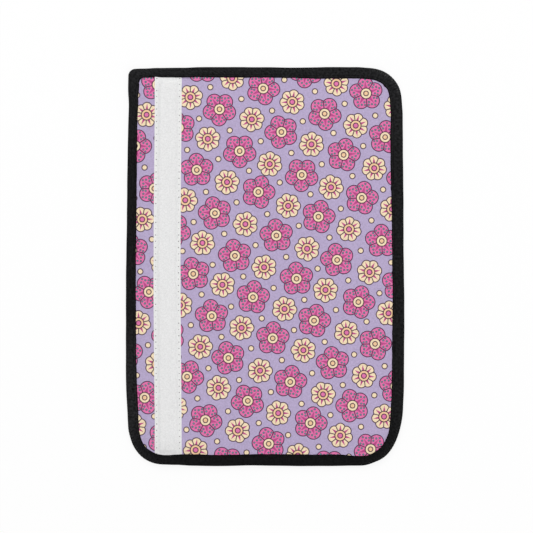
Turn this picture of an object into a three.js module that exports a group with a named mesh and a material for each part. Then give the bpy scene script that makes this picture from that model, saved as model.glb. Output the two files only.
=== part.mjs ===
// Seat belt shoulder pad, laid open flat with its printed face up.
// A printed cover, a foam core and a lining lie on each other. One folded tape binds their edges all round.
// A soft loop strip is sewn along the left of the cover and a hook strip along the right of the lining, so
// that the pad wraps a belt and closes on itself. The bound edge is thinner than the padded middle.
// Millimetres. X runs across the pad, Y along the belt and Z up from the surface that the pad lies on.
import * as THREE from "three";

// Finished outline
const PAD_WIDTH = 177.1;
const PAD_LENGTH = 254;
const WIDEST_FROM_BOTTOM = 81;
const TOP_DRAW_IN = 1.3; // how far each side has drawn in at the top end
const TOP_LEFT_RADIUS = 4.4;
const TOP_RIGHT_RADIUS = 22.3;
const BOTTOM_LEFT_ACROSS = 24;
const BOTTOM_LEFT_ALONG = 31;
const BOTTOM_RIGHT_ACROSS = 28;
const BOTTOM_RIGHT_ALONG = 37;

// Layers
const COVER_THICKNESS = 0.5;
const LINING_THICKNESS = 0.5;
const FOAM_THICKNESS = 4.2;
const FOAM_PINCHED = 1.4; // the foam where the binding squeezes it
const CROWN_WIDTH = 8.5; // from the flat rim to the full height
const BELLY_SLOPE = 6; // the same on the lining, beside the hook strip
const RIM_MARGIN = 0.8; // flat rim left beside the widest flap

// Edge binding, one tape folded over the edge
const TAPE_THICKNESS = 0.6;
const FLAP_LEFT = 5.8;
const FLAP_RIGHT = 7.2;
const FLAP_TOP = 6.3;
const FLAP_BOTTOM = 6.6;
const UNDER_FLAP_EXTRA = 0.5; // the flap behind is this much wider
const FOLD_DEPTH = 1.4; // how far the round of the fold reaches in from the outline
const FOLD_EASE = 0.1; // room between the fold and the layers' cut edges
const TAPE_EDGE_ROUND = 0.35;

// Loop and hook strips
const STRIP_WIDTH = 17.2;
const STRIP_INSET = 18.4; // from the pad's side to the strip
const STRIP_BOW = 0.75; // outwards at mid length
const STRIP_BASE = 0.4;
const SELVAGE = 2.2;
const PILE_HEIGHT = 1.1;
const HOOK_HEIGHT = 1.05;
const PILE_SLOPE = 0.3;
const PILE_CRUSHED = 0.1; // what is left of loops and hooks under the binding
const PILE_RECOVERY = 1.5; // length over which they stand up again
const TAIL_TUCK = 1; // from the layers' cut edges to the strip's cut end
const SEAT_MARGIN = 2; // flat lining beside the hook strip

// Sewing thread
const THREAD_WIDTH = 0.4;
const THREAD_HEIGHT = 0.2;
const STRIP_SEAM_INSET = 1.3; // from the strip's edge
const BINDING_SEAM_INSET = 1.5; // from the flap's edge
const SEAT_GAP = 0.05; // between pieces that lie on each other without being glued

// Smoothness
const CORNER_STEPS = 10;
const TIGHT_CORNER_STEPS = 5;
const SIDE_STEPS = 8;
const CROWN_STEPS = 4;
const FOLD_STEPS = 6;
const FIELD_STEPS = 10;
const LEAST_RADIUS = 2.5;
const TIGHT_RADIUS = 5; // corners under this have fewer steps
const LEAST_SHARE = 0.01; // of an end's straight stretch, between a mark and its corners
const LIFT_MARGIN = 4; // the flap stays lifted this far past a strip's edge
const LIFT_RAMP = 4;

// Levels worked out from the sizes above
const TAIL_THICKNESS = STRIP_BASE + PILE_CRUSHED;
const FLAP_LIFT = TAIL_THICKNESS + 2 * SEAT_GAP;
const RIM_HEIGHT = Math.max(
  STRIP_BASE + HOOK_HEIGHT + SEAT_GAP,
  FLAP_LIFT + TAPE_THICKNESS + THREAD_HEIGHT + 2 * SEAT_GAP,
);
const COVER_RIM_TOP = RIM_HEIGHT + LINING_THICKNESS + FOAM_PINCHED + COVER_THICKNESS;
const FIELD_TOP = LINING_THICKNESS + FOAM_THICKNESS + COVER_THICKNESS;
const RIM_WIDTH = Math.max(FLAP_LEFT, FLAP_RIGHT, FLAP_TOP, FLAP_BOTTOM) + UNDER_FLAP_EXTRA + RIM_MARGIN;
const FOLD_INNER = FOLD_DEPTH - FOLD_EASE;
const LAYER_INSET = FOLD_DEPTH + FOLD_EASE;
const STRIP_CENTRE = PAD_WIDTH / 2 - STRIP_INSET - STRIP_WIDTH / 2;

const even = (inset) => ({ left: inset, right: inset, top: inset, bottom: inset });
const flap = (extra) => ({
  left: FLAP_LEFT + extra,
  right: FLAP_RIGHT + extra,
  top: FLAP_TOP + extra,
  bottom: FLAP_BOTTOM + extra,
});

const CORNERS = [
  { sideX: "right", sideY: "bottom", across: BOTTOM_RIGHT_ACROSS, along: BOTTOM_RIGHT_ALONG, turn: -0.5 },
  { sideX: "right", sideY: "top", across: TOP_RIGHT_RADIUS, along: TOP_RIGHT_RADIUS, turn: 0 },
  { sideX: "left", sideY: "top", across: TOP_LEFT_RADIUS, along: TOP_LEFT_RADIUS, turn: 0.5 },
  { sideX: "left", sideY: "bottom", across: BOTTOM_LEFT_ACROSS, along: BOTTOM_LEFT_ALONG, turn: 1 },
];

// Where the strips need a point on the two ends of the outline, so that the flap can step over them.
const STRIP_MARKS = [-1, 1].flatMap((side) =>
  [-1, 1].flatMap((edge) =>
    [LIFT_MARGIN, LIFT_MARGIN + LIFT_RAMP].map(
      (margin) => side * STRIP_CENTRE + edge * (STRIP_WIDTH / 2 + margin),
    ),
  ),
);

function endShares(fromX, toX) {
  return STRIP_MARKS.map((x) => (x - fromX) / (toX - fromX))
    .filter((share) => share > LEAST_SHARE && share < 1 - LEAST_SHARE)
    .sort((a, b) => a - b);
}

const SIDE_SHARES = Array.from({ length: SIDE_STEPS - 1 }, (_, step) => (step + 1) / SIDE_STEPS);
const STATIONS = [
  SIDE_SHARES,
  endShares(PAD_WIDTH / 2 - TOP_RIGHT_RADIUS, -PAD_WIDTH / 2 + TOP_LEFT_RADIUS),
  SIDE_SHARES,
  endShares(-PAD_WIDTH / 2 + BOTTOM_LEFT_ACROSS, PAD_WIDTH / 2 - BOTTOM_RIGHT_ACROSS),
];

// The sides draw in towards the top, as a square of distance from the widest place.
function drawnIn(x, y) {
  const widest = -PAD_LENGTH / 2 + WIDEST_FROM_BOTTOM;
  const share = (y - widest) / (PAD_LENGTH / 2 - widest);
  return x * (1 - (TOP_DRAW_IN / (PAD_WIDTH / 2)) * share * share);
}

// The outline moved in by inset, anticlockwise from above, with the same number of points for any inset.
function ring(inset) {
  const side = {
    left: -PAD_WIDTH / 2 + inset.left,
    right: PAD_WIDTH / 2 - inset.right,
    top: PAD_LENGTH / 2 - inset.top,
    bottom: -PAD_LENGTH / 2 + inset.bottom,
  };
  const arcs = CORNERS.map((corner) => {
    const across = Math.max(corner.across - inset[corner.sideX], LEAST_RADIUS);
    const along = Math.max(corner.along - inset[corner.sideY], LEAST_RADIUS);
    const centreX = side[corner.sideX] - Math.sign(side[corner.sideX]) * across;
    const centreY = side[corner.sideY] - Math.sign(side[corner.sideY]) * along;
    const steps = corner.across < TIGHT_RADIUS ? TIGHT_CORNER_STEPS : CORNER_STEPS;
    return Array.from({ length: steps + 1 }, (_, step) => {
      const angle = (corner.turn + step / steps / 2) * Math.PI;
      return new THREE.Vector2(centreX + across * Math.cos(angle), centreY + along * Math.sin(angle));
    });
  });
  return arcs
    .flatMap((arc, index) => {
      const next = arcs[(index + 1) % arcs.length][0];
      const last = arc[arc.length - 1];
      return [...arc, ...STATIONS[index].map((share) => last.clone().lerp(next, share))];
    })
    .map((point) => new THREE.Vector2(drawnIn(point.x, point.y), point.y));
}

// A ring at a height, which is one number or a function of the point's place in the ring.
function at(inset, height) {
  const heightOf = typeof height === "function" ? height : () => height;
  return ring(inset).map((point, index) => new THREE.Vector3(point.x, point.y, heightOf(index)));
}

// A closed solid from rows of points, each row a closed loop. The last row joins the first, or both ends are
// capped. Rows run round the way they advance by the right-hand rule. The quads of the first turnedPairs
// pairs of rows are split along their other diagonal.
function skin(rows, capPlane, turnedPairs = 0) {
  const count = rows[0].length;
  const positions = rows.flat().flatMap((point) => [point.x, point.y, point.z]);
  const faces = [];
  const rowPairs = capPlane ? rows.length - 1 : rows.length;
  for (let row = 0; row < rowPairs; row += 1) {
    const here = row * count;
    const there = ((row + 1) % rows.length) * count;
    for (let index = 0; index < count; index += 1) {
      const next = (index + 1) % count;
      const [hereSplit, thereSplit] = row < turnedPairs ? [next, index] : [index, next];
      faces.push(here + index, here + next, there + thereSplit);
      faces.push(hereSplit + here, there + next, there + index);
    }
  }
  if (capPlane) {
    const lastRow = (rows.length - 1) * count;
    const cap = (row) => THREE.ShapeUtils.triangulateShape(row.map(capPlane), []);
    cap(rows[0]).forEach(([a, b, c]) => faces.push(a, c, b));
    cap(rows[rows.length - 1]).forEach(([a, b, c]) => faces.push(lastRow + a, lastRow + b, lastRow + c));
  }
  const geometry = new THREE.BufferGeometry();
  geometry.setAttribute("position", new THREE.Float32BufferAttribute(positions, 3));
  geometry.setIndex(faces);
  geometry.computeVertexNormals();
  return geometry;
}

const fromAbove = (point) => new THREE.Vector2(point.x, point.y);
const fromTheEnd = (point) => new THREE.Vector2(point.z, point.x);

// How far the cover has risen above the rim at a distance in from the outline.
const CROWN = Array.from({ length: CROWN_STEPS + 1 }, (_, step) => {
  const share = step / CROWN_STEPS;
  const rise = (FIELD_TOP - COVER_RIM_TOP) * Math.sin((share * Math.PI) / 2);
  return { inset: RIM_WIDTH + share * CROWN_WIDTH, rise };
});

function riseAt(inset) {
  const outside = CROWN.findLast((mark) => mark.inset <= inset);
  const inside = CROWN.find((mark) => mark.inset > inset);
  if (!outside) return 0;
  if (!inside) return outside.rise;
  const share = (inset - outside.inset) / (inside.inset - outside.inset);
  return outside.rise + share * (inside.rise - outside.rise);
}

function upperSurface(depth) {
  const top = COVER_RIM_TOP - depth;
  return [at(even(LAYER_INSET), top), ...CROWN.map(({ inset, rise }) => at(even(inset), top + rise))];
}

function lowerSurface(height) {
  const seatEdge = even(RIM_WIDTH + RIM_MARGIN);
  seatEdge.right = STRIP_INSET + STRIP_WIDTH + SEAT_MARGIN;
  const bellyEdge = even(RIM_WIDTH + CROWN_WIDTH);
  bellyEdge.right = seatEdge.right + BELLY_SLOPE;
  return [
    at(even(LAYER_INSET), RIM_HEIGHT + height),
    at(even(RIM_WIDTH), RIM_HEIGHT + height),
    at(seatEdge, RIM_HEIGHT + height),
    at(bellyEdge, height),
  ];
}

// A layer between two surfaces, each given as rings from the outside in. Both are split along the same
// diagonals, so that two layers meet in the same faces.
function layer(lower, upper) {
  return skin([...lower.toReversed(), ...upper], fromAbove, lower.length - 1);
}

// The flap is lifted at each point whose neighbours reach over a strip's tail. side is -1 for the loop strip
// at the left, 1 for the hook strip at the right.
function flapLifts(side) {
  const rings = [ring(even(0)), ring(flap(UNDER_FLAP_EXTRA))];
  const count = rings[0].length;
  const near = side * STRIP_CENTRE - STRIP_WIDTH / 2 - SEAT_GAP;
  const far = side * STRIP_CENTRE + STRIP_WIDTH / 2 + SEAT_GAP;
  return rings[0].map((_, index) => {
    const around = [index + count - 1, index, index + 1].flatMap((place) =>
      rings.map((points) => points[place % count].x),
    );
    return Math.max(...around) > near && Math.min(...around) < far ? FLAP_LIFT : 0;
  });
}

const LIFT_OVER_LOOPS = flapLifts(-1);
const LIFT_OVER_HOOKS = flapLifts(1);
const upperFlapUnderside = (index) => COVER_RIM_TOP + LIFT_OVER_LOOPS[index];
const lowerFlapTop = (index) => RIM_HEIGHT - LIFT_OVER_HOOKS[index];
const raised = (height, by) => (index) => height(index) + by;

function edgeBinding() {
  const under = flap(UNDER_FLAP_EXTRA);
  const over = flap(0);
  const outerBottom = raised(lowerFlapTop, -TAPE_THICKNESS);
  const outerTop = raised(upperFlapUnderside, TAPE_THICKNESS);
  const fold = Array.from({ length: FOLD_STEPS + 1 }, (_, step) => {
    const angle = (step / FOLD_STEPS - 0.5) * Math.PI;
    const share = (1 + Math.sin(angle)) / 2;
    const height = (index) => outerBottom(index) + share * (outerTop(index) - outerBottom(index));
    return at(even(FOLD_DEPTH * (1 - Math.cos(angle))), height);
  });
  const innerCorner = FOLD_INNER - TAPE_THICKNESS;
  return skin([
    at(under, lowerFlapTop),
    at(under, raised(outerBottom, TAPE_EDGE_ROUND)),
    at(flap(UNDER_FLAP_EXTRA - TAPE_EDGE_ROUND), outerBottom),
    ...fold,
    at(flap(-TAPE_EDGE_ROUND), outerTop),
    at(over, raised(outerTop, -TAPE_EDGE_ROUND)),
    at(over, upperFlapUnderside),
    at(even(FOLD_INNER), upperFlapUnderside),
    at(even(TAPE_THICKNESS), raised(upperFlapUnderside, -innerCorner)),
    at(even(TAPE_THICKNESS), raised(lowerFlapTop, innerCorner)),
    at(even(FOLD_INNER), lowerFlapTop),
  ]);
}

// A line of thread on a flap. way is 1 on the upper flap and -1 on the lower one.
function bindingSeam(extra, tapeFace, way) {
  const far = raised(tapeFace, way * (SEAT_GAP + THREAD_HEIGHT));
  const near = raised(tapeFace, way * SEAT_GAP);
  const inner = flap(extra - BINDING_SEAM_INSET + THREAD_WIDTH / 2);
  const outer = flap(extra - BINDING_SEAM_INSET - THREAD_WIDTH / 2);
  const rows = [at(outer, near), at(outer, far), at(inner, far), at(inner, near)];
  return skin(way > 0 ? rows : rows.toReversed());
}

// How far in from one end of the pad a ring lies, at a place across the pad.
function reach(inset, x, end) {
  const points = ring(inset);
  const reaches = points.map((point, index) => {
    const next = points[(index + 1) % points.length];
    const share = (x - point.x) / (next.x - point.x);
    const y = THREE.MathUtils.lerp(point.y, next.y, share) * end;
    return share >= 0 && share <= 1 && y > 0 ? PAD_LENGTH / 2 - y : 0;
  });
  return Math.max(...reaches);
}

// The places near one end of the pad where a strip changes height, from its cut end inwards.
function endMarks(side, end) {
  const edges = [-1, 1].map((edge) => side * STRIP_CENTRE + (edge * STRIP_WIDTH) / 2);
  const tail = Math.max(...edges.map((x) => reach(even(LAYER_INSET), x, end))) + TAIL_TUCK;
  const free = Math.max(...edges.map((x) => reach(flap(UNDER_FLAP_EXTRA), x, end))) + SEAT_GAP;
  const insets = [tail, free, free + PILE_RECOVERY, ...CROWN.map((mark) => mark.inset)];
  return insets.sort((a, b) => a - b).map((inset) => ({ inset, free, y: end * (PAD_LENGTH / 2 - inset) }));
}

function stripMarks(side) {
  const fieldHalf = PAD_LENGTH / 2 - RIM_WIDTH - CROWN_WIDTH;
  const field = Array.from({ length: FIELD_STEPS - 1 }, (_, step) => ({
    inset: PAD_LENGTH / 2,
    free: 0,
    y: fieldHalf * ((2 * (step + 1)) / FIELD_STEPS - 1),
  }));
  return [...endMarks(side, -1), ...field, ...endMarks(side, 1).toReversed()];
}

function stripCentre(side, y) {
  const turn = (y / (PAD_LENGTH / 2)) * Math.PI;
  return side * (STRIP_CENTRE + (STRIP_BOW / 2) * (1 + Math.cos(turn)));
}

// The loop strip lies on the crowned cover and the hook strip under the lining's flat seat.
const loopSeat = (inset) => COVER_RIM_TOP + riseAt(inset) + SEAT_GAP;
const hookSeat = () => RIM_HEIGHT - SEAT_GAP;

function pileAt(mark, height) {
  const share = THREE.MathUtils.clamp((mark.inset - mark.free) / PILE_RECOVERY, 0, 1);
  return PILE_CRUSHED + share * (height - PILE_CRUSHED);
}

// A section's points, across the strip and up from its seat, put at one mark. way is 1 where the strip's
// face looks up and -1 where it looks down.
function placed(section, mark, side, way, seat) {
  const centre = stripCentre(side, mark.y);
  const ordered = way > 0 ? section : section.toReversed();
  return ordered.map(([x, rise]) => new THREE.Vector3(centre + x, mark.y, seat(mark.inset) + way * rise));
}

function stripRow(mark, side, way, seat, height) {
  const half = STRIP_WIDTH / 2;
  const pileHalf = half - SELVAGE;
  const pile = STRIP_BASE + pileAt(mark, height);
  const section = [
    [-pileHalf + PILE_SLOPE, pile],
    [pileHalf - PILE_SLOPE, pile],
    [pileHalf, STRIP_BASE],
    [half, STRIP_BASE],
    [half, 0],
    [-half, 0],
    [-half, STRIP_BASE],
    [-pileHalf, STRIP_BASE],
  ];
  return placed(section, mark, side, way, seat);
}

function strip(side, way, seat, height) {
  return skin(
    stripMarks(side).map((mark) => stripRow(mark, side, way, seat, height)),
    fromTheEnd,
  );
}

// A line of thread along a strip's selvage, between the two flaps.
function stripSeam(side, edge, way, seat) {
  const offset = edge * (STRIP_WIDTH / 2 - STRIP_SEAM_INSET);
  const near = STRIP_BASE + SEAT_GAP;
  const section = [
    [offset - THREAD_WIDTH / 2, near + THREAD_HEIGHT],
    [offset + THREAD_WIDTH / 2, near + THREAD_HEIGHT],
    [offset + THREAD_WIDTH / 2, near],
    [offset - THREAD_WIDTH / 2, near],
  ];
  const marks = stripMarks(side).filter((mark) => mark.inset >= mark.free);
  return skin(
    marks.map((mark) => placed(section, mark, side, way, seat)),
    fromTheEnd,
  );
}

const fabric = (color, roughness) => new THREE.MeshStandardMaterial({ color, roughness, metalness: 0 });
const PRINTED = fabric(0xb7aaca, 0.85);
const FOAM = fabric(0xd8d5cc, 0.95);
const LINING = fabric(0x2b2b2e, 0.9);
const TAPE = fabric(0x1c1c1e, 0.7);
const LOOPS = fabric(0xe5e5e5, 0.95);
const HOOKS = fabric(0xdededc, 0.6);
const WHITE_THREAD = fabric(0xf0f0ee, 0.6);
const BLACK_THREAD = fabric(0x141416, 0.6);

const pad = new THREE.Group();

function piece(name, geometry, material) {
  const mesh = new THREE.Mesh(geometry, material);
  mesh.name = name;
  pad.add(mesh);
}

piece("inner_lining", layer(lowerSurface(0), lowerSurface(LINING_THICKNESS)), LINING);
piece("foam_core", layer(lowerSurface(LINING_THICKNESS), upperSurface(COVER_THICKNESS)), FOAM);
piece("outer_cover", layer(upperSurface(COVER_THICKNESS), upperSurface(0)), PRINTED);
piece("edge_binding", edgeBinding(), TAPE);
piece("binding_top_seam", bindingSeam(0, raised(upperFlapUnderside, TAPE_THICKNESS), 1), BLACK_THREAD);
piece(
  "binding_under_seam",
  bindingSeam(UNDER_FLAP_EXTRA, raised(lowerFlapTop, -TAPE_THICKNESS), -1),
  BLACK_THREAD,
);
piece("loop_strip", strip(-1, 1, loopSeat, PILE_HEIGHT), LOOPS);
piece("hook_strip", strip(1, -1, hookSeat, HOOK_HEIGHT), HOOKS);
[
  { name: "outer", edge: 1 },
  { name: "inner", edge: -1 },
].forEach(({ name, edge }) => {
  piece(`loop_strip_${name}_seam`, stripSeam(-1, -edge, 1, loopSeat), WHITE_THREAD);
  piece(`hook_strip_${name}_seam`, stripSeam(1, edge, -1, hookSeat), WHITE_THREAD);
});

export default pad;
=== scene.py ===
# %% [markdown]
# # A seat belt shoulder pad, laid open on a white table
# The real pad is a flat sandwich: a printed cover, a sheet of foam and a dark lining. A folded tape binds
# its edges all round, a strip of soft loops is sewn to the face and a strip of hooks to the back. Its
# solids were made first, at real size. They stay in place as the frame, and each cell below dresses one of
# them.

# %% Load the solids
import math

import bmesh
import bpy
import numpy as np
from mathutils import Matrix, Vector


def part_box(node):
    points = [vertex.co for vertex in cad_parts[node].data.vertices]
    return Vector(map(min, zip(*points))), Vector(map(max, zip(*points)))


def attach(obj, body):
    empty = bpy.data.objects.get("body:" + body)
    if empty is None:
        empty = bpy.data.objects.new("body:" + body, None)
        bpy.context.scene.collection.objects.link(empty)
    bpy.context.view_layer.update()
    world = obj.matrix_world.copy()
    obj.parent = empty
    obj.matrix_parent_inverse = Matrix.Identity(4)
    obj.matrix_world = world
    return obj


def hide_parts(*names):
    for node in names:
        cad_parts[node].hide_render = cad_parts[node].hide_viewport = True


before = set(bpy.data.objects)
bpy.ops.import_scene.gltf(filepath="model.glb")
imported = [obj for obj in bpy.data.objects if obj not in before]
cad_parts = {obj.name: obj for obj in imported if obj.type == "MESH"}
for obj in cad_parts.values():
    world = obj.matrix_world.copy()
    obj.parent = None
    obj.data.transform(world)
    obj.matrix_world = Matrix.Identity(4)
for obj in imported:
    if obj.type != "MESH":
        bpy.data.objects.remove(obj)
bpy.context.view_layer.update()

print("solids:", ", ".join(sorted(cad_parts)))

# %% [markdown]
# ## Sizes
# Blender works in metres. The pad's own sizes are easier to read in millimetres, so each is written as a
# number times MM. The overall width, length and levels come from the solids, so that cloth and solids can't
# drift apart.

# %% Sizes of the pad
MM = 0.001
BINDING_LOW, BINDING_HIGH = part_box("edge_binding")
HALF_WIDTH = (BINDING_HIGH.x - BINDING_LOW.x) / 2
HALF_LENGTH = (BINDING_HIGH.y - BINDING_LOW.y) / 2
FIELD_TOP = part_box("outer_cover")[1].z

COVER_THICKNESS = 0.5 * MM
LINING_THICKNESS = 0.5 * MM
COVER_RIM_TOP = 3.9 * MM
LINING_RIM = 1.5 * MM  # underside of the lining at the bound edge
LAYER_INSET = 1.6 * MM  # from the fold of the binding to the cut edges of the layers
TAPE_THICKNESS = 0.6 * MM
FOLD_DEPTH = 1.4 * MM
FLAP = {"left": 5.8 * MM, "right": 7.2 * MM, "top": 6.3 * MM, "bottom": 6.6 * MM}
UNDER_FLAP_EXTRA = 0.5 * MM

STRIP_WIDTH = 17.2 * MM
STRIP_CENTRE = HALF_WIDTH - 18.4 * MM - STRIP_WIDTH / 2
STRIP_BOW = 0.75 * MM
STRIP_BASE = 0.4 * MM
SELVAGE = 1.9 * MM
print(f"pad {2 * HALF_WIDTH / MM:.1f} x {2 * HALF_LENGTH / MM:.1f} mm, field {FIELD_TOP / MM:.2f} mm high")

# %% [markdown]
# ## The outline
# Everything follows one outline: four straight sides, four corners that are quarter ellipses, and sides
# that draw in a little towards the top. A function gives it at any inset, always with the same number of
# points, so that two of its rings can be joined by faces one to one.

# %% The outline at an inset
# The sides that meet, the radius across and along the pad, and where the arc starts, in half turns.
CORNERS = (
    ("right", "bottom", 28 * MM, 37 * MM, -0.5),
    ("right", "top", 22.3 * MM, 22.3 * MM, 0.0),
    ("left", "top", 4.4 * MM, 4.4 * MM, 0.5),
    ("left", "bottom", 24 * MM, 31 * MM, 1.0),
)
SIDES = ("left", "right", "top", "bottom")
WIDEST = -HALF_LENGTH + 81 * MM
TOP_DRAW_IN = 1.3 * MM
LEAST_RADIUS = 4.0 * MM
CORNER_SPACING = 0.36 * MM
LEAST_CORNER_STEPS = 18
SIDE_STEPS = 150


def even(inset):
    return dict.fromkeys(SIDES, inset)


def between(first, second, share):
    return {side: first[side] + (second[side] - first[side]) * share for side in SIDES}


def corner_steps(across, along):
    return max(round((across + along) * math.pi / 4 / CORNER_SPACING), LEAST_CORNER_STEPS)


def outline(inset):
    """The outline moved in by a dictionary of insets, anticlockwise from the start of the first corner."""
    edge = {
        "left": inset["left"] - HALF_WIDTH,
        "right": HALF_WIDTH - inset["right"],
        "bottom": inset["bottom"] - HALF_LENGTH,
        "top": HALF_LENGTH - inset["top"],
    }
    arcs = []
    for side_x, side_y, across, along, turn in CORNERS:
        radius_x = max(across - inset[side_x], LEAST_RADIUS)
        radius_y = max(along - inset[side_y], LEAST_RADIUS)
        centre_x = edge[side_x] - math.copysign(radius_x, edge[side_x])
        centre_y = edge[side_y] - math.copysign(radius_y, edge[side_y])
        angle = (turn + np.linspace(0, 0.5, corner_steps(across, along) + 1)) * math.pi
        x = centre_x + radius_x * np.cos(angle)
        y = centre_y + radius_y * np.sin(angle)
        arcs.append(np.column_stack([x, y]))
    share = np.linspace(0, 1, SIDE_STEPS + 1)[1:-1, None]
    parts = []
    for arc, following in zip(arcs, arcs[1:] + arcs[:1]):
        parts += [arc, arc[-1] * (1 - share) + following[0] * share]
    ring = np.concatenate(parts)
    height_share = (ring[:, 1] - WIDEST) / (HALF_LENGTH - WIDEST)
    ring[:, 0] *= 1 - TOP_DRAW_IN / HALF_WIDTH * height_share**2
    return ring


EDGE = outline(even(0))
STEP_LENGTHS = np.linalg.norm(np.roll(EDGE, -1, axis=0) - EDGE, axis=1)
PERIMETER = STEP_LENGTHS.sum()
PLACE = np.concatenate([[0], np.cumsum(STEP_LENGTHS)[:-1]])  # of each point, along the outline
print(f"outline: {len(EDGE)} points, {PERIMETER / MM:.0f} mm round")

# %% [markdown]
# Three more facts about each point of the outline are used often: the direction into the pad, how much the
# point belongs to a corner, where the binding's tape has to gather, and the distance of any place from the
# outline.

# %% Directions, corners and distances
heading = np.roll(EDGE, -1, axis=0) - np.roll(EDGE, 1, axis=0)
heading /= np.linalg.norm(heading, axis=1)[:, None]
INWARD = np.column_stack([-heading[:, 1], heading[:, 0]])

TIGHT_RADIUS = 5 * MM  # a corner under this is folded, not gathered
GATHER_FULLNESS = 0.6  # the lower it is, the sooner the gathers begin in a corner
CHUNK = 4000  # points whose distances are worked out at a time


def gathering(across, along):
    """How much the tape gathers at each point of a corner and of the side after it."""
    arc = np.sin(np.linspace(0, math.pi, corner_steps(across, along) + 1)) ** GATHER_FULLNESS
    return np.append(arc * (across > TIGHT_RADIUS), np.zeros(SIDE_STEPS - 1))


CORNER_SHARE = np.concatenate([gathering(across, along) for _, _, across, along, _ in CORNERS])


def smooth(value, low, high):
    """0 below low, 1 above high and a soft step between them."""
    share = np.clip((value - low) / (high - low), 0, 1)
    return share * share * (3 - 2 * share)


def eased(place, knots):
    """A value that goes smoothly from knot to knot. A knot is a place and its value, both in millimetres."""
    places, values = np.array(knots).T * MM
    after = np.clip(np.searchsorted(places, place), 1, len(places) - 1)
    share = smooth(place, places[after - 1], places[after])
    return values[after - 1] + (values[after] - values[after - 1]) * share


def waves(place, *parts):
    """Sine waves that close on themselves round the outline: (waves in the whole round, height, phase)."""
    turn = 2 * math.pi * place / PERIMETER
    return sum(height * np.sin(count * turn + phase) for count, height, phase in parts)


def from_edge(points):
    """How far in from the outline each point is, and how far along the outline its nearest place lies."""
    depth = []
    place = []
    for start in range(0, len(points), CHUNK):
        gaps = np.linalg.norm(points[start : start + CHUNK, None, :2] - EDGE[None], axis=2)
        nearest = gaps.argmin(axis=1)
        depth.append(gaps.min(axis=1))
        place.append(PLACE[nearest])
    return np.concatenate(depth), np.concatenate(place)


print(f"corners take {100 * (CORNER_SHARE > 0).mean():.0f}% of the outline's points")

# %% [markdown]
# ## Node trees from Python expressions
# A node tree is a formula. This class wraps one output socket, so that a formula can be written as one: a +
# b adds a Math node. Any other node comes from one method, which takes its type, settings and inputs. It
# serves the materials and the Geometry Nodes trees alike.

# %% The class for node trees
class Wire:
    """One output socket of a node tree."""

    def __init__(self, tree, socket=None):
        self.tree = tree
        self.socket = socket

    def node(self, kind, settings=None, inputs=None, output=0):
        made = self.tree.nodes.new(kind)
        for name, value in (settings or {}).items():
            setattr(made, name, value)
        for name, value in (inputs or {}).items():
            if isinstance(value, Wire):
                self.tree.links.new(value.socket, made.inputs[name])
            else:
                made.inputs[name].default_value = value
        return Wire(self.tree, made.outputs[output] if made.outputs else None)

    def maths(self, operation, *values, clamp=False):
        settings = {"operation": operation, "use_clamp": clamp}
        return self.node("ShaderNodeMath", settings, dict(enumerate(values)))

    def vector(self, x, y, z):
        return self.node("ShaderNodeCombineXYZ", inputs={0: x, 1: y, 2: z})

    def __add__(self, other):
        return self.maths("ADD", self, other)

    def __radd__(self, other):
        return self.maths("ADD", other, self)

    def __sub__(self, other):
        return self.maths("SUBTRACT", self, other)

    def __rsub__(self, other):
        return self.maths("SUBTRACT", other, self)

    def __mul__(self, other):
        return self.maths("MULTIPLY", self, other)

    def __rmul__(self, other):
        return self.maths("MULTIPLY", other, self)

    def __truediv__(self, other):
        return self.maths("DIVIDE", self, other)

    def __abs__(self):
        return self.maths("ABSOLUTE", self)

    def sine(self):
        return self.maths("SINE", self)

    def cosine(self):
        return self.maths("COSINE", self)

    def fraction(self):
        return self.maths("FRACT", self)

    def inside(self, softness):
        """1 where this is below 0 and 0 where it is above, with a soft edge."""
        return self.maths("MULTIPLY_ADD", self, -1 / softness, 0.5, clamp=True)

    def paint(self, under, over):
        """The colour over where this is 1, and under where it is 0."""
        return self.node("ShaderNodeMix", {"data_type": "RGBA"}, {0: self, 6: under, 7: over}, 2)


print("wire class ready")

# %% [markdown]
# ## Finishes
# Each material is a function of its own. Patterns read Object coordinates, which are metres on the pad
# itself, or the piece's UV map where they follow a tape. Colours are given as they look on a screen, from 0
# to 255, and turned into the linear values that Blender works in.

# %% Helpers for materials
def linear(red, green, blue):
    """A screen colour as the linear colour that a shader takes."""
    colour = []
    for channel in (red, green, blue):
        level = channel / 255
        colour.append(level / 12.92 if level <= 0.04045 else ((level + 0.055) / 1.055) ** 2.4)
    return [*colour, 1.0]


def new_material(name, roughness, sheen=0.0, specular=0.5):
    """A material with its Principled shader, the shader, and a Wire to start formulas from."""
    material = bpy.data.materials.new(name)
    material.use_nodes = True
    shader = material.node_tree.nodes["Principled BSDF"]
    shader.inputs["Roughness"].default_value = roughness
    shader.inputs["Sheen Weight"].default_value = sheen
    shader.inputs["Specular IOR Level"].default_value = specular
    return material, shader, Wire(material.node_tree)


def place_in_mm(start, source="Object"):
    """The three Object coordinates, or the UV coordinates, in millimetres."""
    outputs = {"Object": 3, "UV": 2}
    point = start.node("ShaderNodeTexCoord", output=outputs[source])
    scaled = start.node("ShaderNodeVectorMath", {"operation": "SCALE"}, {0: point, "Scale": 1 / MM})
    parts = [start.node("ShaderNodeSeparateXYZ", inputs={0: scaled}, output=axis) for axis in range(3)]
    return scaled, parts


def noise(start, point, size, detail=2.0):
    """Noise between 0 and 1 with spots of about the given size in millimetres."""
    settings = {"Vector": point, "Scale": 1 / size, "Detail": detail}
    return start.node("ShaderNodeTexNoise", inputs=settings)


def plug(shader, name, wire):
    wire.tree.links.new(wire.socket, shader.inputs[name])


def bump(shader, height, depth):
    """Relief that is depth metres high where height goes from 0 to 1."""
    relief = height.node("ShaderNodeBump", inputs={"Height": height, "Distance": depth, "Strength": 1.0})
    plug(shader, "Normal", relief)


print("white 229 is linear", round(linear(229, 229, 229)[0], 3))

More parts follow.
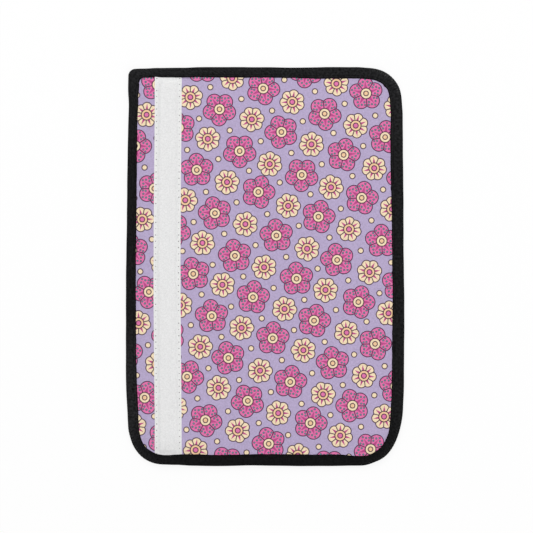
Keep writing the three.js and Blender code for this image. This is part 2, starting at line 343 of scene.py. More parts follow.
# %% [markdown]
# No cloth has a perfectly even colour, and a raking light finds its threads. Two crossed sine waves make
# the relief of a plain weave, and noise makes a colour a little lighter and darker from place to place.

# %% A weave and an uneven colour
WEAVE_PITCH = 0.8
WEAVE_DEPTH = 0.04 * MM


def weave(x, y, pitch):
    """The relief of a plain weave, from 0 to 1, with one thread over and one under in each pitch."""
    return (x * (2 * math.pi / pitch)).sine() * (y * (2 * math.pi / pitch)).sine() * 0.5 + 0.5


def dimmed(start, colour, level):
    """The colour times a level."""
    grey = start.node("ShaderNodeCombineColor", inputs={0: level, 1: level, 2: level})
    settings = {"data_type": "RGBA", "blend_type": "MULTIPLY"}
    return start.node("ShaderNodeMix", settings, {0: 1.0, 6: colour, 7: grey}, 2)


def mottled(start, colour, point, size, amount):
    """The colour made a little lighter and darker by noise."""
    return dimmed(start, colour, (noise(start, point, size) - 0.5) * amount + 1)


print("weave pitch", WEAVE_PITCH, "mm")

# %% [markdown]
# ### The printed cover
# The cloth is a fine plain weave with a small flower print on a lavender ground. A print is a formula as
# well. A square lattice, turned on the cloth, holds a pink blossom in each cell, a cream one where four
# cells meet and a bud on each side. Inside a cell the place is turned by an angle of the cell's own, so
# that no two look alike.

# %% The print's inks and sizes
LAVENDER = linear(181, 167, 200)
PINK = linear(223, 118, 170)
DEEP_PINK = linear(186, 78, 136)
CREAM = linear(241, 220, 185)
TAN = linear(239, 199, 158)
INK = linear(70, 46, 70)
TEAL = linear(84, 158, 160)

# All lengths of the print are in millimetres.
PRINT_PITCH = 29.5
PRINT_TURN = math.radians(24)
PRINT_JITTER = 1.6
LINE = 0.6  # width of the drawn lines
SOFT = 0.16  # width over which one colour of ink meets the next
VEIN_WIDTH = 0.5  # of the deep pink wedge in a petal, where the petal is widest
VEIN_TAPER = 0.22
VEIN_TIP = 0.2  # how far the wedge begins outside the blossom's inner ring
BUD_RADIUS = 1.7
SPECK_RADIUS = 0.42
SPECK_LINE = 0.25
SPECKS = ((7.6, 1.5), (5.3, 2.1), (6.6, 3.4), (9.2, 0.0))  # along and beside the middle line of a pink petal
CREAM_BLOSSOM = {
    "count": 7,
    "reach": 4.8,
    "radius": 3.1,
    "fill": CREAM,
    "rings": ((3.4, TAN), (1.6, PINK)),
}
PINK_BLOSSOM = {
    "count": 5,
    "reach": 5.9,
    "radius": 4.7,
    "fill": PINK,
    "rings": ((3.4, CREAM), (1.5, TAN)),
}
print("one pink and one cream blossom in", PRINT_PITCH**2 / 100, "square cm")


# %% Cells and petals
def cell(start, along, across, shift_along, shift_across, seed):
    """Distance and angle from the middle of each lattice cell."""
    u = along / PRINT_PITCH + shift_along
    v = across / PRINT_PITCH + shift_across
    number = start.vector(u.maths("FLOOR", u), v.maths("FLOOR", v), seed)
    chance = start.node("ShaderNodeTexWhiteNoise", {"noise_dimensions": "3D"}, {"Vector": number}, 1)
    picks = [start.node("ShaderNodeSeparateColor", inputs={0: chance}, output=axis) for axis in range(3)]
    x = (u.fraction() - 0.5) * PRINT_PITCH + (picks[0] - 0.5) * PRINT_JITTER
    y = (v.fraction() - 0.5) * PRINT_PITCH + (picks[1] - 0.5) * PRINT_JITTER
    distance = (x * x + y * y).maths("SQRT", x * x + y * y)
    angle = y.maths("ARCTAN2", y, x) + picks[2] * (2 * math.pi)
    return distance, angle


def petals(distance, angle, count, reach, radius):
    """How far outside the petals a place is, where it is along and beside its petal, and how far it is from
    the line between two petals."""
    width = 2 * math.pi / count
    turn = ((angle / width).fraction() - 0.5) * width
    along = distance * turn.cosine()
    beside = distance * turn.sine()
    gap = (along - reach) * (along - reach) + beside * beside
    outside = gap.maths("SQRT", gap) - radius
    divide = distance * (width / 2 - abs(turn)).sine()
    return outside, along, beside, divide


def disc(ground, distance, radius, fill):
    """A round spot with a drawn line round it."""
    colour = (distance - radius).inside(SOFT).paint(ground, fill)
    return (abs(distance - radius) - LINE / 2).inside(SOFT).paint(colour, INK)


def blossom(ground, distance, angle, count, reach, radius, fill, rings):
    """A blossom painted on the ground, and where its petals are. Each ring is a radius and a colour."""
    outside, along, beside, divide = petals(distance, angle, count, reach, radius)
    body = outside.inside(SOFT)
    colour = body.paint(ground, fill)
    vein = abs(beside) + (along - reach) * VEIN_TAPER - VEIN_WIDTH
    past_ring = (rings[0][0] + VEIN_TIP - along).inside(SOFT)
    colour = (vein.inside(SOFT) * past_ring * body).paint(colour, DEEP_PINK)
    line = (abs(outside) - LINE / 2).inside(SOFT)
    between_petals = (divide - LINE / 2).inside(SOFT) * body
    colour = line.maths("MAXIMUM", line, between_petals).paint(colour, INK)
    for ring_radius, ring_colour in rings:
        colour = disc(colour, distance, ring_radius, ring_colour)
    return colour, along, beside


print("a cream blossom is", 2 * (CREAM_BLOSSOM["reach"] + CREAM_BLOSSOM["radius"]), "mm wide")


# %% The printed cloth
def blossom_print(start, x, y):
    """The colour of the print at a place in millimetres."""
    along = x * math.cos(PRINT_TURN) + y * math.sin(PRINT_TURN)
    across = y * math.cos(PRINT_TURN) - x * math.sin(PRINT_TURN)
    colour = start.node("ShaderNodeRGB")
    colour.socket.default_value = LAVENDER
    for shift_along, shift_across in ((0.5, 0.0), (0.0, 0.5)):
        distance, _ = cell(start, along, across, shift_along, shift_across, seed=3)
        colour = disc(colour, distance, BUD_RADIUS, CREAM)
    distance, angle = cell(start, along, across, 0.5, 0.5, seed=2)
    colour, _, _ = blossom(colour, distance, angle, **CREAM_BLOSSOM)
    distance, angle = cell(start, along, across, 0.0, 0.0, seed=1)
    colour, petal_along, petal_beside = blossom(colour, distance, angle, **PINK_BLOSSOM)
    for speck_along, speck_beside in SPECKS:
        apart_along = petal_along - speck_along
        apart_beside = abs(petal_beside) - speck_beside
        apart = apart_along * apart_along + apart_beside * apart_beside
        speck = apart.maths("SQRT", apart) - SPECK_RADIUS
        colour = (speck - SPECK_LINE).inside(SOFT).paint(colour, INK)
        colour = speck.inside(SOFT).paint(colour, TEAL)
    return colour


def printed_cloth():
    material, shader, start = new_material("printed_cloth", roughness=0.85, sheen=0.05, specular=0.12)
    point, (x, y, _) = place_in_mm(start)
    colour = mottled(start, blossom_print(start, x, y), point, size=0.9, amount=0.5)
    plug(shader, "Base Color", colour)
    bump(shader, weave(x, y, WEAVE_PITCH), WEAVE_DEPTH)
    return material


COVER_MATERIAL = printed_cloth()
print("print:", len(COVER_MATERIAL.node_tree.nodes), "nodes")

# %% [markdown]
# ### The other cloths
# The lining is a plain dark weave. The binding is a ribbed tape: its ribs run across it, painted shade
# darkens its fold and the edge that lies on the cover, a painted highlight lightens the tops of its gathers,
# and its colour varies in streaks along it and from thread to thread, while painted light and shade leave it
# mostly lighter along the top of the pad and darker along the bottom. The strips' tapes are white with needle
# holes along their seams, whose colour is painted shade. Those three follow the piece, so they read its UV
# map, with u across and v along it.

# %% The lining and the binding
RIB_PITCH = 0.9
TAPE_DARK = linear(6, 6, 7)
TAPE_LIGHT = linear(33, 33, 34)
# Painted highlight on the tops of the gathers.
PAINTED_GATHER_HIGHLIGHT = linear(50, 50, 50)
# Painted shade along the fold and along the tape's edge on the cover.
PAINTED_EDGE_SHADE = linear(4, 4, 5)
STREAK_LENGTH = 12.5  # how many times longer a streak is than wide
STREAK_SHARE = 0.6  # of the tape's colour that varies in streaks, the rest from thread to thread
RIB_SHARE = 0.7  # of its relief that is ribs, the rest thread
TAPE_EDGE_SHADE = 0.7  # how wide the painted shade is along the fold and along the tape's edge on the cover
HIGHLIGHTED_GATHER_TOPS = "gathers"  # an attribute of the binding's mesh: 1 on top of a gather, where a highlight is painted, and 0 beside it
PAINTED_LIGHT_AND_SHADE = "painted_light_and_shade"  # another: how light the tape is painted along it, painted light and shade that leave it mostly lighter along the top of the pad and darker along the bottom


def lining_cloth():
    material, shader, start = new_material("lining_cloth", roughness=0.9, sheen=0.15, specular=0.2)
    point, (x, y, _) = place_in_mm(start)
    colour = start.node("ShaderNodeRGB")
    colour.socket.default_value = linear(46, 46, 49)
    plug(shader, "Base Color", mottled(start, colour, point, size=1.2, amount=0.5))
    bump(shader, weave(x, y, WEAVE_PITCH), depth=0.06 * MM)
    return material


def stored(start, name):
    """A value that the mesh keeps for each of its points."""
    return start.node("ShaderNodeAttribute", {"attribute_name": name}, output=2)


def binding_cloth(fold_u, edge_u):
    """A ribbed tape. fold_u and edge_u are the places across it, in millimetres, of the fold's outside and
    of the edge that lies on the cover."""
    material, shader, start = new_material("binding_cloth", roughness=0.7, specular=0.05)
    point, (across, along, _) = place_in_mm(start, "UV")
    rib = (along * (2 * math.pi / RIB_PITCH)).sine() * 0.5 + 0.5
    thread = noise(start, point, size=0.35)
    streak = noise(start, start.vector(across, along / STREAK_LENGTH, 0.0), size=1.1)
    colour = (streak * STREAK_SHARE + thread * (1 - STREAK_SHARE)).paint(TAPE_DARK, TAPE_LIGHT)
    # A painted highlight on the tops of the gathers.
    colour = stored(start, HIGHLIGHTED_GATHER_TOPS).paint(colour, PAINTED_GATHER_HIGHLIGHT)
    # Painted light and shade along the tape: mostly lighter along the top of the pad, darker along the
    # bottom.
    colour = dimmed(start, colour, stored(start, PAINTED_LIGHT_AND_SHADE))
    colour = mottled(start, colour, point, size=1.4, amount=3.8)
    # Painted shade along the fold, where the tape rounds away, and along the edge that lies on the cover.
    shaded_edge = (abs(across - edge_u) - TAPE_EDGE_SHADE).inside(softness=0.5)
    shaded_fold = (abs(across - fold_u) - TAPE_EDGE_SHADE).inside(softness=0.6)
    plug(shader, "Base Color", shaded_edge.maths("MAXIMUM", shaded_edge, shaded_fold).paint(colour, PAINTED_EDGE_SHADE))
    bump(shader, rib * RIB_SHARE + thread * (1 - RIB_SHARE), depth=0.07 * MM)
    return material


print("lining and binding defined, ribs", RIB_PITCH, "mm apart")


# %% Foam, yarn and thread
def foam_material():
    material, shader, start = new_material("foam", roughness=0.95, specular=0.1)
    point, _ = place_in_mm(start)
    cells = noise(start, point, size=0.5, detail=4.0)
    plug(shader, "Base Color", cells.paint(linear(196, 192, 184), linear(226, 223, 216)))
    bump(shader, cells, depth=0.2 * MM)
    return material


def plain_thread(name, light, dark, roughness, size, depth, detail=2.0, sheen=0.05, specular=0.3):
    """Yarn or thread: two near shades mixed by noise that also lifts the fibres."""
    material, shader, start = new_material(name, roughness, sheen, specular)
    point, _ = place_in_mm(start)
    fibre = noise(start, point, size, detail)
    plug(shader, "Base Color", fibre.paint(dark, light))
    bump(shader, fibre, depth)
    return material


print("foam and threads defined")

# %% The cloth of the strips' tapes
# All of these are in millimetres.
NEEDLE_PITCH = 4.0
HOLE_RADIUS = 0.32
HOLE_CHANCE = (4.0, -1.2)  # factor and shift that turn noise into how far open a hole is
STRIP_SEAM_INSET = 1.3
CORD_WIDTH = 0.6
FOOT_FADE = 0.8
STRIP_RIB_PITCH = 0.5


def tape_cloth(name, colour, cord, foot, hole):
    """A strip's tape: fine ribs, a cord along each edge, the foot of the pile between them, and a needle
    hole wherever the thread goes in. Each has a colour of its own, and the holes' colour is painted shade."""
    material, shader, start = new_material(name, roughness=0.85, sheen=0.05, specular=0.15)
    point, (across, along, _) = place_in_mm(start, "UV")
    half_strip = STRIP_WIDTH / MM / 2
    half_pile = (STRIP_WIDTH / 2 - SELVAGE) / MM
    beside = abs(across) - (half_strip - STRIP_SEAM_INSET)
    step = ((along / NEEDLE_PITCH + 0.5).fraction() - 0.5) * NEEDLE_PITCH
    apart = beside * beside + step * step
    chance = noise(start, point, size=5.0)
    open_hole = chance.maths("MULTIPLY_ADD", chance, *HOLE_CHANCE, clamp=True)
    needle_hole = (apart.maths("SQRT", apart) - HOLE_RADIUS).inside(softness=0.2) * open_hole
    body = (abs(across) - (half_pile - FOOT_FADE / 2)).inside(FOOT_FADE).paint(colour, foot)
    body = (half_strip - CORD_WIDTH - abs(across)).inside(softness=0.3).paint(body, cord)
    body = mottled(start, body, point, size=1.1, amount=0.3)
    # The needle holes' colour is painted shade.
    plug(shader, "Base Color", needle_hole.paint(body, hole))
    rib = (along * (2 * math.pi / STRIP_RIB_PITCH)).sine() * 0.5 + 0.5
    bump(shader, rib - needle_hole, depth=0.05 * MM)
    return material


print("a needle hole every", NEEDLE_PITCH, "mm")

# %% White and black tapes and threads
WHITE_TAPE = tape_cloth(
    "white_tape",
    linear(233, 233, 233),
    cord=linear(240, 240, 240),
    foot=linear(236, 236, 236),
    hole=linear(70, 66, 69),
)
HOOK_TAPE = tape_cloth(
    "hook_tape_cloth",
    linear(226, 226, 224),
    cord=linear(236, 236, 234),
    foot=linear(218, 218, 215),
    hole=linear(110, 106, 104),
)
LOOP_YARN = plain_thread(
    "loop_yarn",
    linear(249, 249, 249),
    linear(188, 188, 188),
    roughness=0.95,
    size=1.9,
    depth=0.03 * MM,
    detail=5.0,
)
HOOK_NYLON = plain_thread(
    "hook_nylon",
    linear(228, 228, 226),
    linear(214, 214, 211),
    roughness=0.45,
    size=0.8,
    depth=0.01 * MM,
)
WHITE_THREAD = plain_thread(
    "white_sewing_thread",
    linear(244, 244, 242),
    linear(226, 226, 224),
    roughness=0.6,
    size=0.25,
    depth=0.03 * MM,
)
BLACK_THREAD = plain_thread(
    "black_sewing_thread",
    linear(16, 16, 17),
    linear(7, 7, 8),
    roughness=0.8,
    size=0.25,
    depth=0.03 * MM,
    sheen=0.0,
    specular=0.05,
)
print("white tapes, yarns and threads made")

# %% [markdown]
# ## Meshes
# Three ways of making a mesh serve the whole pad. A sheet is a grid of rows across the pad, closed into a
# slab with a thickness. A tape is a section swept along a path. What repeats, such as loops and stitches,
# comes later from Geometry Nodes.

# %% A mesh object from points and faces
def add_piece(name, points, faces, material, uv=None):
    mesh = bpy.data.meshes.new(name)
    mesh.from_pydata(np.asarray(points).tolist(), [], [list(map(int, face)) for face in faces])
    if uv is not None:
        mesh.uv_layers.new(name="UVMap").data.foreach_set("uv", np.asarray(uv, float).ravel())
    mesh.materials.append(material)
    mesh.shade_smooth()
    piece = bpy.data.objects.new(name, mesh)
    bpy.context.scene.collection.objects.link(piece)
    return piece


def face_outwards(piece):
    shape = bmesh.new()
    shape.from_mesh(piece.data)
    bmesh.ops.recalc_face_normals(shape, faces=shape.faces)
    shape.to_mesh(piece.data)
    shape.free()


def triangles(piece):
    return sum(len(face.vertices) - 2 for face in piece.data.polygons)


def settled(piece):
    """The piece with its modifiers worked into a plain mesh."""
    evaluated = piece.evaluated_get(bpy.context.evaluated_depsgraph_get())
    finished = bpy.data.meshes.new_from_object(evaluated)
    piece.modifiers.clear()
    old = piece.data
    piece.data = finished
    finished.name = piece.name
    bpy.data.meshes.remove(old)
    return piece


def refined(piece):
    """The piece after one subdivision, as a plain mesh."""
    finer = piece.modifiers.new("finer", "SUBSURF")
    finer.levels = finer.render_levels = 1
    return settled(piece)


def move_points(piece, shift):
    """Moves the piece's points by a function that takes and gives an array of points."""
    points = np.empty(len(piece.data.vertices) * 3)
    piece.data.vertices.foreach_get("co", points)
    points = shift(points.reshape(-1, 3))
    piece.data.vertices.foreach_set("co", points.ravel())
    piece.data.update()


print("mesh helpers ready")

# %% A grid of points over the pad's plan
def chain(ring, first, second):
    """The points of a ring through two corners that follow each other, from the lowest to the highest."""
    steps = [corner_steps(across, along) + 1 for _, _, across, along, _ in CORNERS]
    begin = sum(steps[:first]) + first * (SIDE_STEPS - 1)
    length = steps[first] + SIDE_STEPS - 1 + steps[second]
    stretch = ring[begin : begin + length]
    return stretch[np.argsort(stretch[:, 1])]


def places(x, y):
    """Places in the plan, rows x columns x 2, from the x of each point and the y of each row."""
    return np.stack([x, np.broadcast_to(y[:, None], x.shape)], axis=-1)


def plan_grid(inset, spacing):
    """Rows of places across the plan, each from the outline's left to its right."""
    ring = outline(even(inset))
    right = chain(ring, 0, 1)
    left = chain(ring, 2, 3)
    y = np.linspace(inset - HALF_LENGTH, HALF_LENGTH - inset, round(2 * HALF_LENGTH / spacing) + 1)
    shares = np.linspace(0, 1, round(2 * HALF_WIDTH / spacing) + 1)
    start_x = np.interp(y, left[:, 1], left[:, 0])[:, None]
    end_x = np.interp(y, right[:, 1], right[:, 0])[:, None]
    return places(start_x + (end_x - start_x) * shares[None], y)


def grid_faces(rows, columns):
    index = np.arange(rows * columns).reshape(rows, columns)
    corners = [index[:-1, :-1], index[:-1, 1:], index[1:, 1:], index[1:, :-1]]
    return np.stack(corners, axis=-1).reshape(-1, 4)


def slab(name, top, bottom, material):
    """A closed piece between two grids of points, rows x columns x 3."""
    rows, columns = top.shape[:2]
    index = np.arange(rows * columns).reshape(rows, columns)
    upper = grid_faces(rows, columns)
    lower = upper[:, ::-1] + rows * columns
    border = np.concatenate([index[0, :-1], index[:-1, -1], index[-1, :0:-1], index[:0:-1, 0]])
    following = np.roll(border, -1)
    walls = np.stack([border, border + rows * columns, following + rows * columns, following], axis=-1)
    points = np.concatenate([top.reshape(-1, 3), bottom.reshape(-1, 3)])
    return add_piece(name, points, np.concatenate([upper, lower, walls]), material)


GRID_SPACING = 3 * MM
PLAN = plan_grid(LAYER_INSET, GRID_SPACING)
print("plan grid:", PLAN.shape[0], "rows of", PLAN.shape[1])

# %% [markdown]
# ## The layers
# The cover is flat under the binding and crowned over the foam. Where the loop strip is sewn on, it is held
# down. Between those held places it is free, so a short cloth simulation with air pressure under it puffs
# it up. How far a point may move is limited, because thin foam in a tight binding hardly gives.

# %% Where the cover lies before it is puffed up
CROWN_START = 7.4 * MM
CROWN_WIDTH = 9.2 * MM


def cover_height(points):
    depth, _ = from_edge(points)
    share = np.clip((depth - CROWN_START) / CROWN_WIDTH, 0, 1)
    return COVER_RIM_TOP + (FIELD_TOP - COVER_RIM_TOP) * np.sin(share * math.pi / 2)


def strip_centre(side, y):
    """Where a strip's middle is across the pad. side is -1 at the left and 1 at the right."""
    return side * (STRIP_CENTRE + STRIP_BOW / 2 * (1 + np.cos(y * math.pi / HALF_LENGTH)))


flat_plan = PLAN.reshape(-1, 2)
cover_points = np.column_stack([flat_plan, cover_height(flat_plan)])
print(f"cover from {cover_points[:, 2].min() / MM:.2f} to {cover_points[:, 2].max() / MM:.2f} mm")

# %% Puff the cover up with a cloth simulation
PUFF_FRAMES = 20
PUFF_PRESSURE = 3.0
MOST_PUFF = 0.7 * MM
HELD_RIM = 9 * MM
HELD_BESIDE_STRIP = 0.6 * MM
NEVER_NOUGHT = 1e-12  # a held point doesn't move, and the length of its move is divided by


def puffed(points, faces, held, pressure, most):
    """The points after air pressure has pushed the cloth out where it isn't held, by no more than most."""
    cloth_piece = add_piece("cloth_to_puff", points, faces, COVER_MATERIAL)
    pins = cloth_piece.vertex_groups.new(name="held")
    pins.add([int(index) for index in np.flatnonzero(held)], 1.0, "REPLACE")
    cloth = cloth_piece.modifiers.new("Cloth", "CLOTH")
    cloth.settings.vertex_group_mass = pins.name
    cloth.settings.use_pressure = True
    cloth.settings.uniform_pressure_force = pressure
    cloth.settings.effector_weights.gravity = 0
    cloth.collision_settings.use_collision = False
    cloth.point_cache.frame_end = PUFF_FRAMES
    for step in range(1, PUFF_FRAMES + 1):
        bpy.context.scene.frame_set(step)
    evaluated = cloth_piece.evaluated_get(bpy.context.evaluated_depsgraph_get())
    after = np.array([vertex.co[:] for vertex in evaluated.data.vertices])
    bpy.context.scene.frame_set(1)
    bpy.data.objects.remove(cloth_piece)
    move = after - points
    length = np.linalg.norm(move, axis=1)[:, None] + NEVER_NOUGHT
    return points + move / length * most * np.tanh(length / most)


depth, _ = from_edge(cover_points)
beside_strip = abs(cover_points[:, 0] - strip_centre(-1, cover_points[:, 1])) - STRIP_WIDTH / 2
held = (depth < HELD_RIM) | (beside_strip < HELD_BESIDE_STRIP)
faces = grid_faces(*PLAN.shape[:2])
cover_points = puffed(cover_points, faces, held, PUFF_PRESSURE, MOST_PUFF)
print(f"cover puffed up to {cover_points[:, 2].max() / MM:.2f} mm")

# %% [markdown]
# Sewing gathers cloth a little. After one subdivision the cover is fine enough for the shallow puckers that
# the binding's stitches leave in it, which fade out within about a centimetre of the tape.

# %% The cover
PUCKERS = 210  # round the whole outline
PUCKER_HEIGHT = 0.07 * MM
PUCKER_REACH = 9 * MM


def puckered(points):
    depth, place = from_edge(points)
    fade = 1 - smooth(depth, CROWN_START, CROWN_START + PUCKER_REACH)
    pattern = waves(place, (PUCKERS, 1.0, 0.4), (PUCKERS // 3, 0.8, 1.9), (PUCKERS // 7, 0.7, 3.1))
    points[:, 2] += PUCKER_HEIGHT * fade * pattern
    return points


cover_top = cover_points.reshape(*PLAN.shape[:2], 3)
cover_bottom = cover_top - np.array([0, 0, COVER_THICKNESS])
cover = slab("cover", cover_top, cover_bottom, COVER_MATERIAL)
refined(cover)
move_points(cover, puckered)
print("cover:", triangles(cover), "triangles")

# %% [markdown]
# The lining lies on the table. It is lifted at the bound edge and over the flat seat of the hook strip, and
# the cloth between has faint folds. The foam fills what is left between the two cloths.

# %% The lining and the foam
BELLY_SLOPE = (8.5 * MM, 17 * MM)  # depths between which the lining comes down to the table
SEAT_SLOPE = (37.6 * MM, 43.6 * MM)  # the same beside the hook strip, from the pad's right side
FOLD_HEIGHT = 0.16 * MM
LAYER_GAP = 0.05 * MM


def ripples(first, second, wave, bend, bend_wave):
    """Faint folds, from 0 to 1, that follow each other in one direction and bend with the other."""
    return 0.5 + 0.5 * np.sin(first / wave + bend * np.sin(second / bend_wave))


def lining_height(points):
    depth, _ = from_edge(points)
    x, y = points[:, 0], points[:, 1]
    down = np.minimum(smooth(depth, *BELLY_SLOPE), smooth(HALF_WIDTH - x, *SEAT_SLOPE))
    folds = ripples(x, y, 7 * MM, 2.2, 31 * MM) * ripples(y, x, 11 * MM, 1.7, 23 * MM)
    return LINING_RIM * (1 - down) + FOLD_HEIGHT * folds * down


lining_bottom = np.column_stack([flat_plan, lining_height(flat_plan)]).reshape(*PLAN.shape[:2], 3)
lining_top = lining_bottom + np.array([0, 0, LINING_THICKNESS])
lining = slab("lining", lining_top, lining_bottom, lining_cloth())
refined(lining)

gap = np.array([0, 0, LAYER_GAP])
foam = slab("foam_sheet", cover_bottom - gap, lining_top + gap, foam_material())
print("lining:", triangles(lining), "triangles, foam:", triangles(foam))

# %% [markdown]
# ## The binding
# One tape is folded over the edge and stitched down through all the layers. Its section is a flat U, and it
# is swept round the outline. What makes it look sewn are small departures from that rule: the flap's width
# drifts, it rises over the ends of the strips, gathers in fine ribs round the corners and dips along its
# stitches.

# %% How the binding departs from an even tape
FLAP_DRIFT = (  # millimetres along the outline, and how much wider the upper flap is there
    (0, -0.3), (8, -0.8), (28, -0.7), (48, 0.7), (104, 0.7), (118, 0.3), (160, 0.4), (216, 1.1),
    (250, 0.5), (282, 1.2), (308, 1.2), (332, 0.5), (370, 0.5), (412, 0.0), (428, -0.4), (437, 1.5),
    (440, 1.3), (445, 0.6), (456, 0.25), (540, 0.5), (610, 0.9), (645, 1.4), (656, 1.3), (680, 0.1),
    (698, -0.4), (716, 0.9), (745, 0.6), (780, 1.1), (808, 0.8), (823, -0.3),
)
TAPE_PAINTED_LIGHT_AND_SHADE = (  # millimetres along the outline, and how light the tape is painted there, as painted light and shade
    (0, 0.42), (25, 0.65), (55, 0.88), (150, 0.95), (200, 1.05), (240, 1.35), (262, 1.5), (300, 1.25),
    (380, 1.2), (425, 1.45), (455, 1.05), (500, 0.7), (590, 0.75), (612, 1.4), (650, 1.5), (680, 0.85),
    (710, 0.5), (780, 0.42), (823, 0.42),
)
STRIP_LIFT = 0.6 * MM
LIFT_START = 0.4 * MM  # from the strip's edge to where the flap begins to come down beside it
LIFT_RAMP = 3.5 * MM
CORNER_RIBS = 450  # round the whole outline, so about 1.8 mm each
CORNER_RIB_HEIGHT = 0.13 * MM
STITCH_PITCH = 3.2 * MM
STITCHES = round(PERIMETER / STITCH_PITCH)
BINDING_SEAM_INSET = 1.5 * MM
RIBS = np.sin(2 * math.pi * CORNER_RIBS * PLACE / PERIMETER + waves(PLACE, (45, 1.1, 0.7), (17, 1.4, 2.3)))


def strip_lift(side):
    """How much the flap is lifted at each point of the outline by the ends of the strip on that side."""
    beside = abs(EDGE[:, 0] - strip_centre(side, EDGE[:, 1])) - STRIP_WIDTH / 2
    at_an_end = abs(INWARD[:, 1]) > abs(INWARD[:, 0])
    return STRIP_LIFT * (1 - smooth(beside, LIFT_START, LIFT_START + LIFT_RAMP)) * at_an_end


print("corner ribs", round(PERIMETER / CORNER_RIBS / MM, 2), "mm apart")

# %% [markdown]
# The tape has two flaps, one on the cover and one on the lining. They differ in width, in how that width
# drifts and in the strip that lies under them, so those three facts are kept for each flap.

# %% The two flaps
UPPER, LOWER = 1, -1  # also the way in which a flap's outside looks
FLAP_WIDTH = {
    UPPER: FLAP,
    LOWER: {side: width + UNDER_FLAP_EXTRA for side, width in FLAP.items()},
}
FLAP_SEAT = {
    UPPER: COVER_RIM_TOP + strip_lift(-1),
    LOWER: LINING_RIM - strip_lift(1),
}
small_drift = waves(PLACE, (37, 0.05 * MM, 0.3), (91, 0.04 * MM, 2.0), (163, 0.02 * MM, 4.1))
DRIFT = {
    UPPER: eased(PLACE, FLAP_DRIFT) + small_drift,
    LOWER: waves(PLACE, (23, 0.25 * MM, 1.0), (71, 0.1 * MM, 0.2)),
}
print(f"upper flap drifts between {DRIFT[UPPER].min() / MM:.2f} and {DRIFT[UPPER].max() / MM:.2f} mm")

# %% The binding's section
# Each row of the section is a ring: insets, a share of the drift in the flap's width, and heights.
FOLD_STEPS = 9
FLAP_STEPS = 9
EDGE_ROUND = 0.3 * MM
BULGE = 0.22 * MM
SEAM_DIP = 0.1 * MM
SEAM_DIP_WIDTH = 0.13  # as a share of the flap, like the seam's place
SEAM_PLACE = 1 - (BINDING_SEAM_INSET - EDGE_ROUND) / (FLAP["top"] - FOLD_DEPTH)
RIBS_IN_MIDDLE = 0.45  # how high the corner's ribs are half way across the flap, and on the fold
RIBS_ON_FOLD = 0.4
FOLD_INSIDE = FOLD_DEPTH - 0.1 * MM  # from the fold's outside to where the inside of the tape is flat
WAVER = waves(PLACE, (53, 0.05 * MM, 0.5), (29, 0.06 * MM, 2.6), (111, 0.03 * MM, 1.2))


def flap_rows(way):
    """The outside of a flap, from the fold to its edge."""
    width = FLAP_WIDTH[way]
    drift = DRIFT[way]
    seat = FLAP_SEAT[way]
    rounded = {side: width[side] - EDGE_ROUND for side in SIDES}
    stitch = 0.5 + 0.5 * np.cos(2 * math.pi * STITCHES * PLACE / PERIMETER)
    rows = []
    for share in np.linspace(0, 1, FLAP_STEPS + 1):
        ring = outline(between(even(FOLD_DEPTH), rounded, share)) + INWARD * (drift * share)[:, None]
        middle = math.sin(share * math.pi)
        dip = SEAM_DIP * math.exp(-(((share - SEAM_PLACE) / SEAM_DIP_WIDTH) ** 2))
        rib_share = RIBS_IN_MIDDLE + (1 - RIBS_IN_MIDDLE) * abs(2 * share - 1)
        ribs = CORNER_RIB_HEIGHT * CORNER_SHARE * RIBS * rib_share
        puff = BULGE * middle + WAVER * middle - dip * stitch + ribs
        rows.append((ring, seat + way * (TAPE_THICKNESS + puff)))
    rim = outline(width) + INWARD * drift[:, None]
    rows.append((rim, seat + way * (TAPE_THICKNESS - EDGE_ROUND)))
    rows.append((rim, seat))
    return rows


def fold_rows():
    """The outside of the fold, from the lower flap to the upper one."""
    low = FLAP_SEAT[LOWER] - TAPE_THICKNESS
    high = FLAP_SEAT[UPPER] + TAPE_THICKNESS
    rows = []
    for share in np.linspace(0, 1, FOLD_STEPS + 1)[1:-1]:
        angle = (share - 0.5) * math.pi
        ribs = RIBS_ON_FOLD * CORNER_RIB_HEIGHT * CORNER_SHARE * RIBS * math.cos(angle)
        waver = waves(PLACE, (41, 0.03 * MM, 0.9), (13, 0.06 * MM, 2.2)) * math.cos(angle)
        ring = outline(even(FOLD_DEPTH * (1 - math.cos(angle)))) - INWARD * (ribs + waver)[:, None]
        rows.append((ring, low + (high - low) * (1 + math.sin(angle)) / 2))
    return rows


def inside_rows():
    """The inside of the tape, from the upper flap's edge round the layers' cut edges to the lower flap's."""
    corner = FOLD_INSIDE - TAPE_THICKNESS
    return [
        (outline(even(FOLD_INSIDE)), FLAP_SEAT[UPPER]),
        (outline(even(TAPE_THICKNESS)), FLAP_SEAT[UPPER] - corner),
        (outline(even(TAPE_THICKNESS)), FLAP_SEAT[LOWER] + corner),
        (outline(even(FOLD_INSIDE)), FLAP_SEAT[LOWER]),
    ]


binding_rows = [*reversed(flap_rows(LOWER)), *fold_rows(), *flap_rows(UPPER), *inside_rows()]
print("binding section:", len(binding_rows), "points")

# %% [markdown]
# The tight corner at the top left is too sharp for gathers. There the tape is folded into a mitre, which
# leaves a small ridge from the corner of the fold to the corner of the flap.

# %% Sweep the binding
MITRE_HEIGHT = 0.28 * MM
MITRE_WIDTH = 1.1 * MM
MITRE_SECOND = (2.2 * MM, 0.5)  # a lower ridge beside it: how far away, and its share of the height
MITRE_START = (0.8 * MM, 2.5 * MM)  # where the ridge comes up, from the corner of the fold
MITRE_END = (8 * MM, 9.5 * MM)  # where it goes down again
GATHER_HIGHLIGHT_PLACE = 2.4 * MM  # across the tape, from the fold's outside to where the painted highlight on the gathers is strongest
GATHER_HIGHLIGHT_WIDTH = 1.3 * MM


def ring_points(row):
    ring, height = row
    return np.column_stack([ring, np.broadcast_to(height, len(ring))])


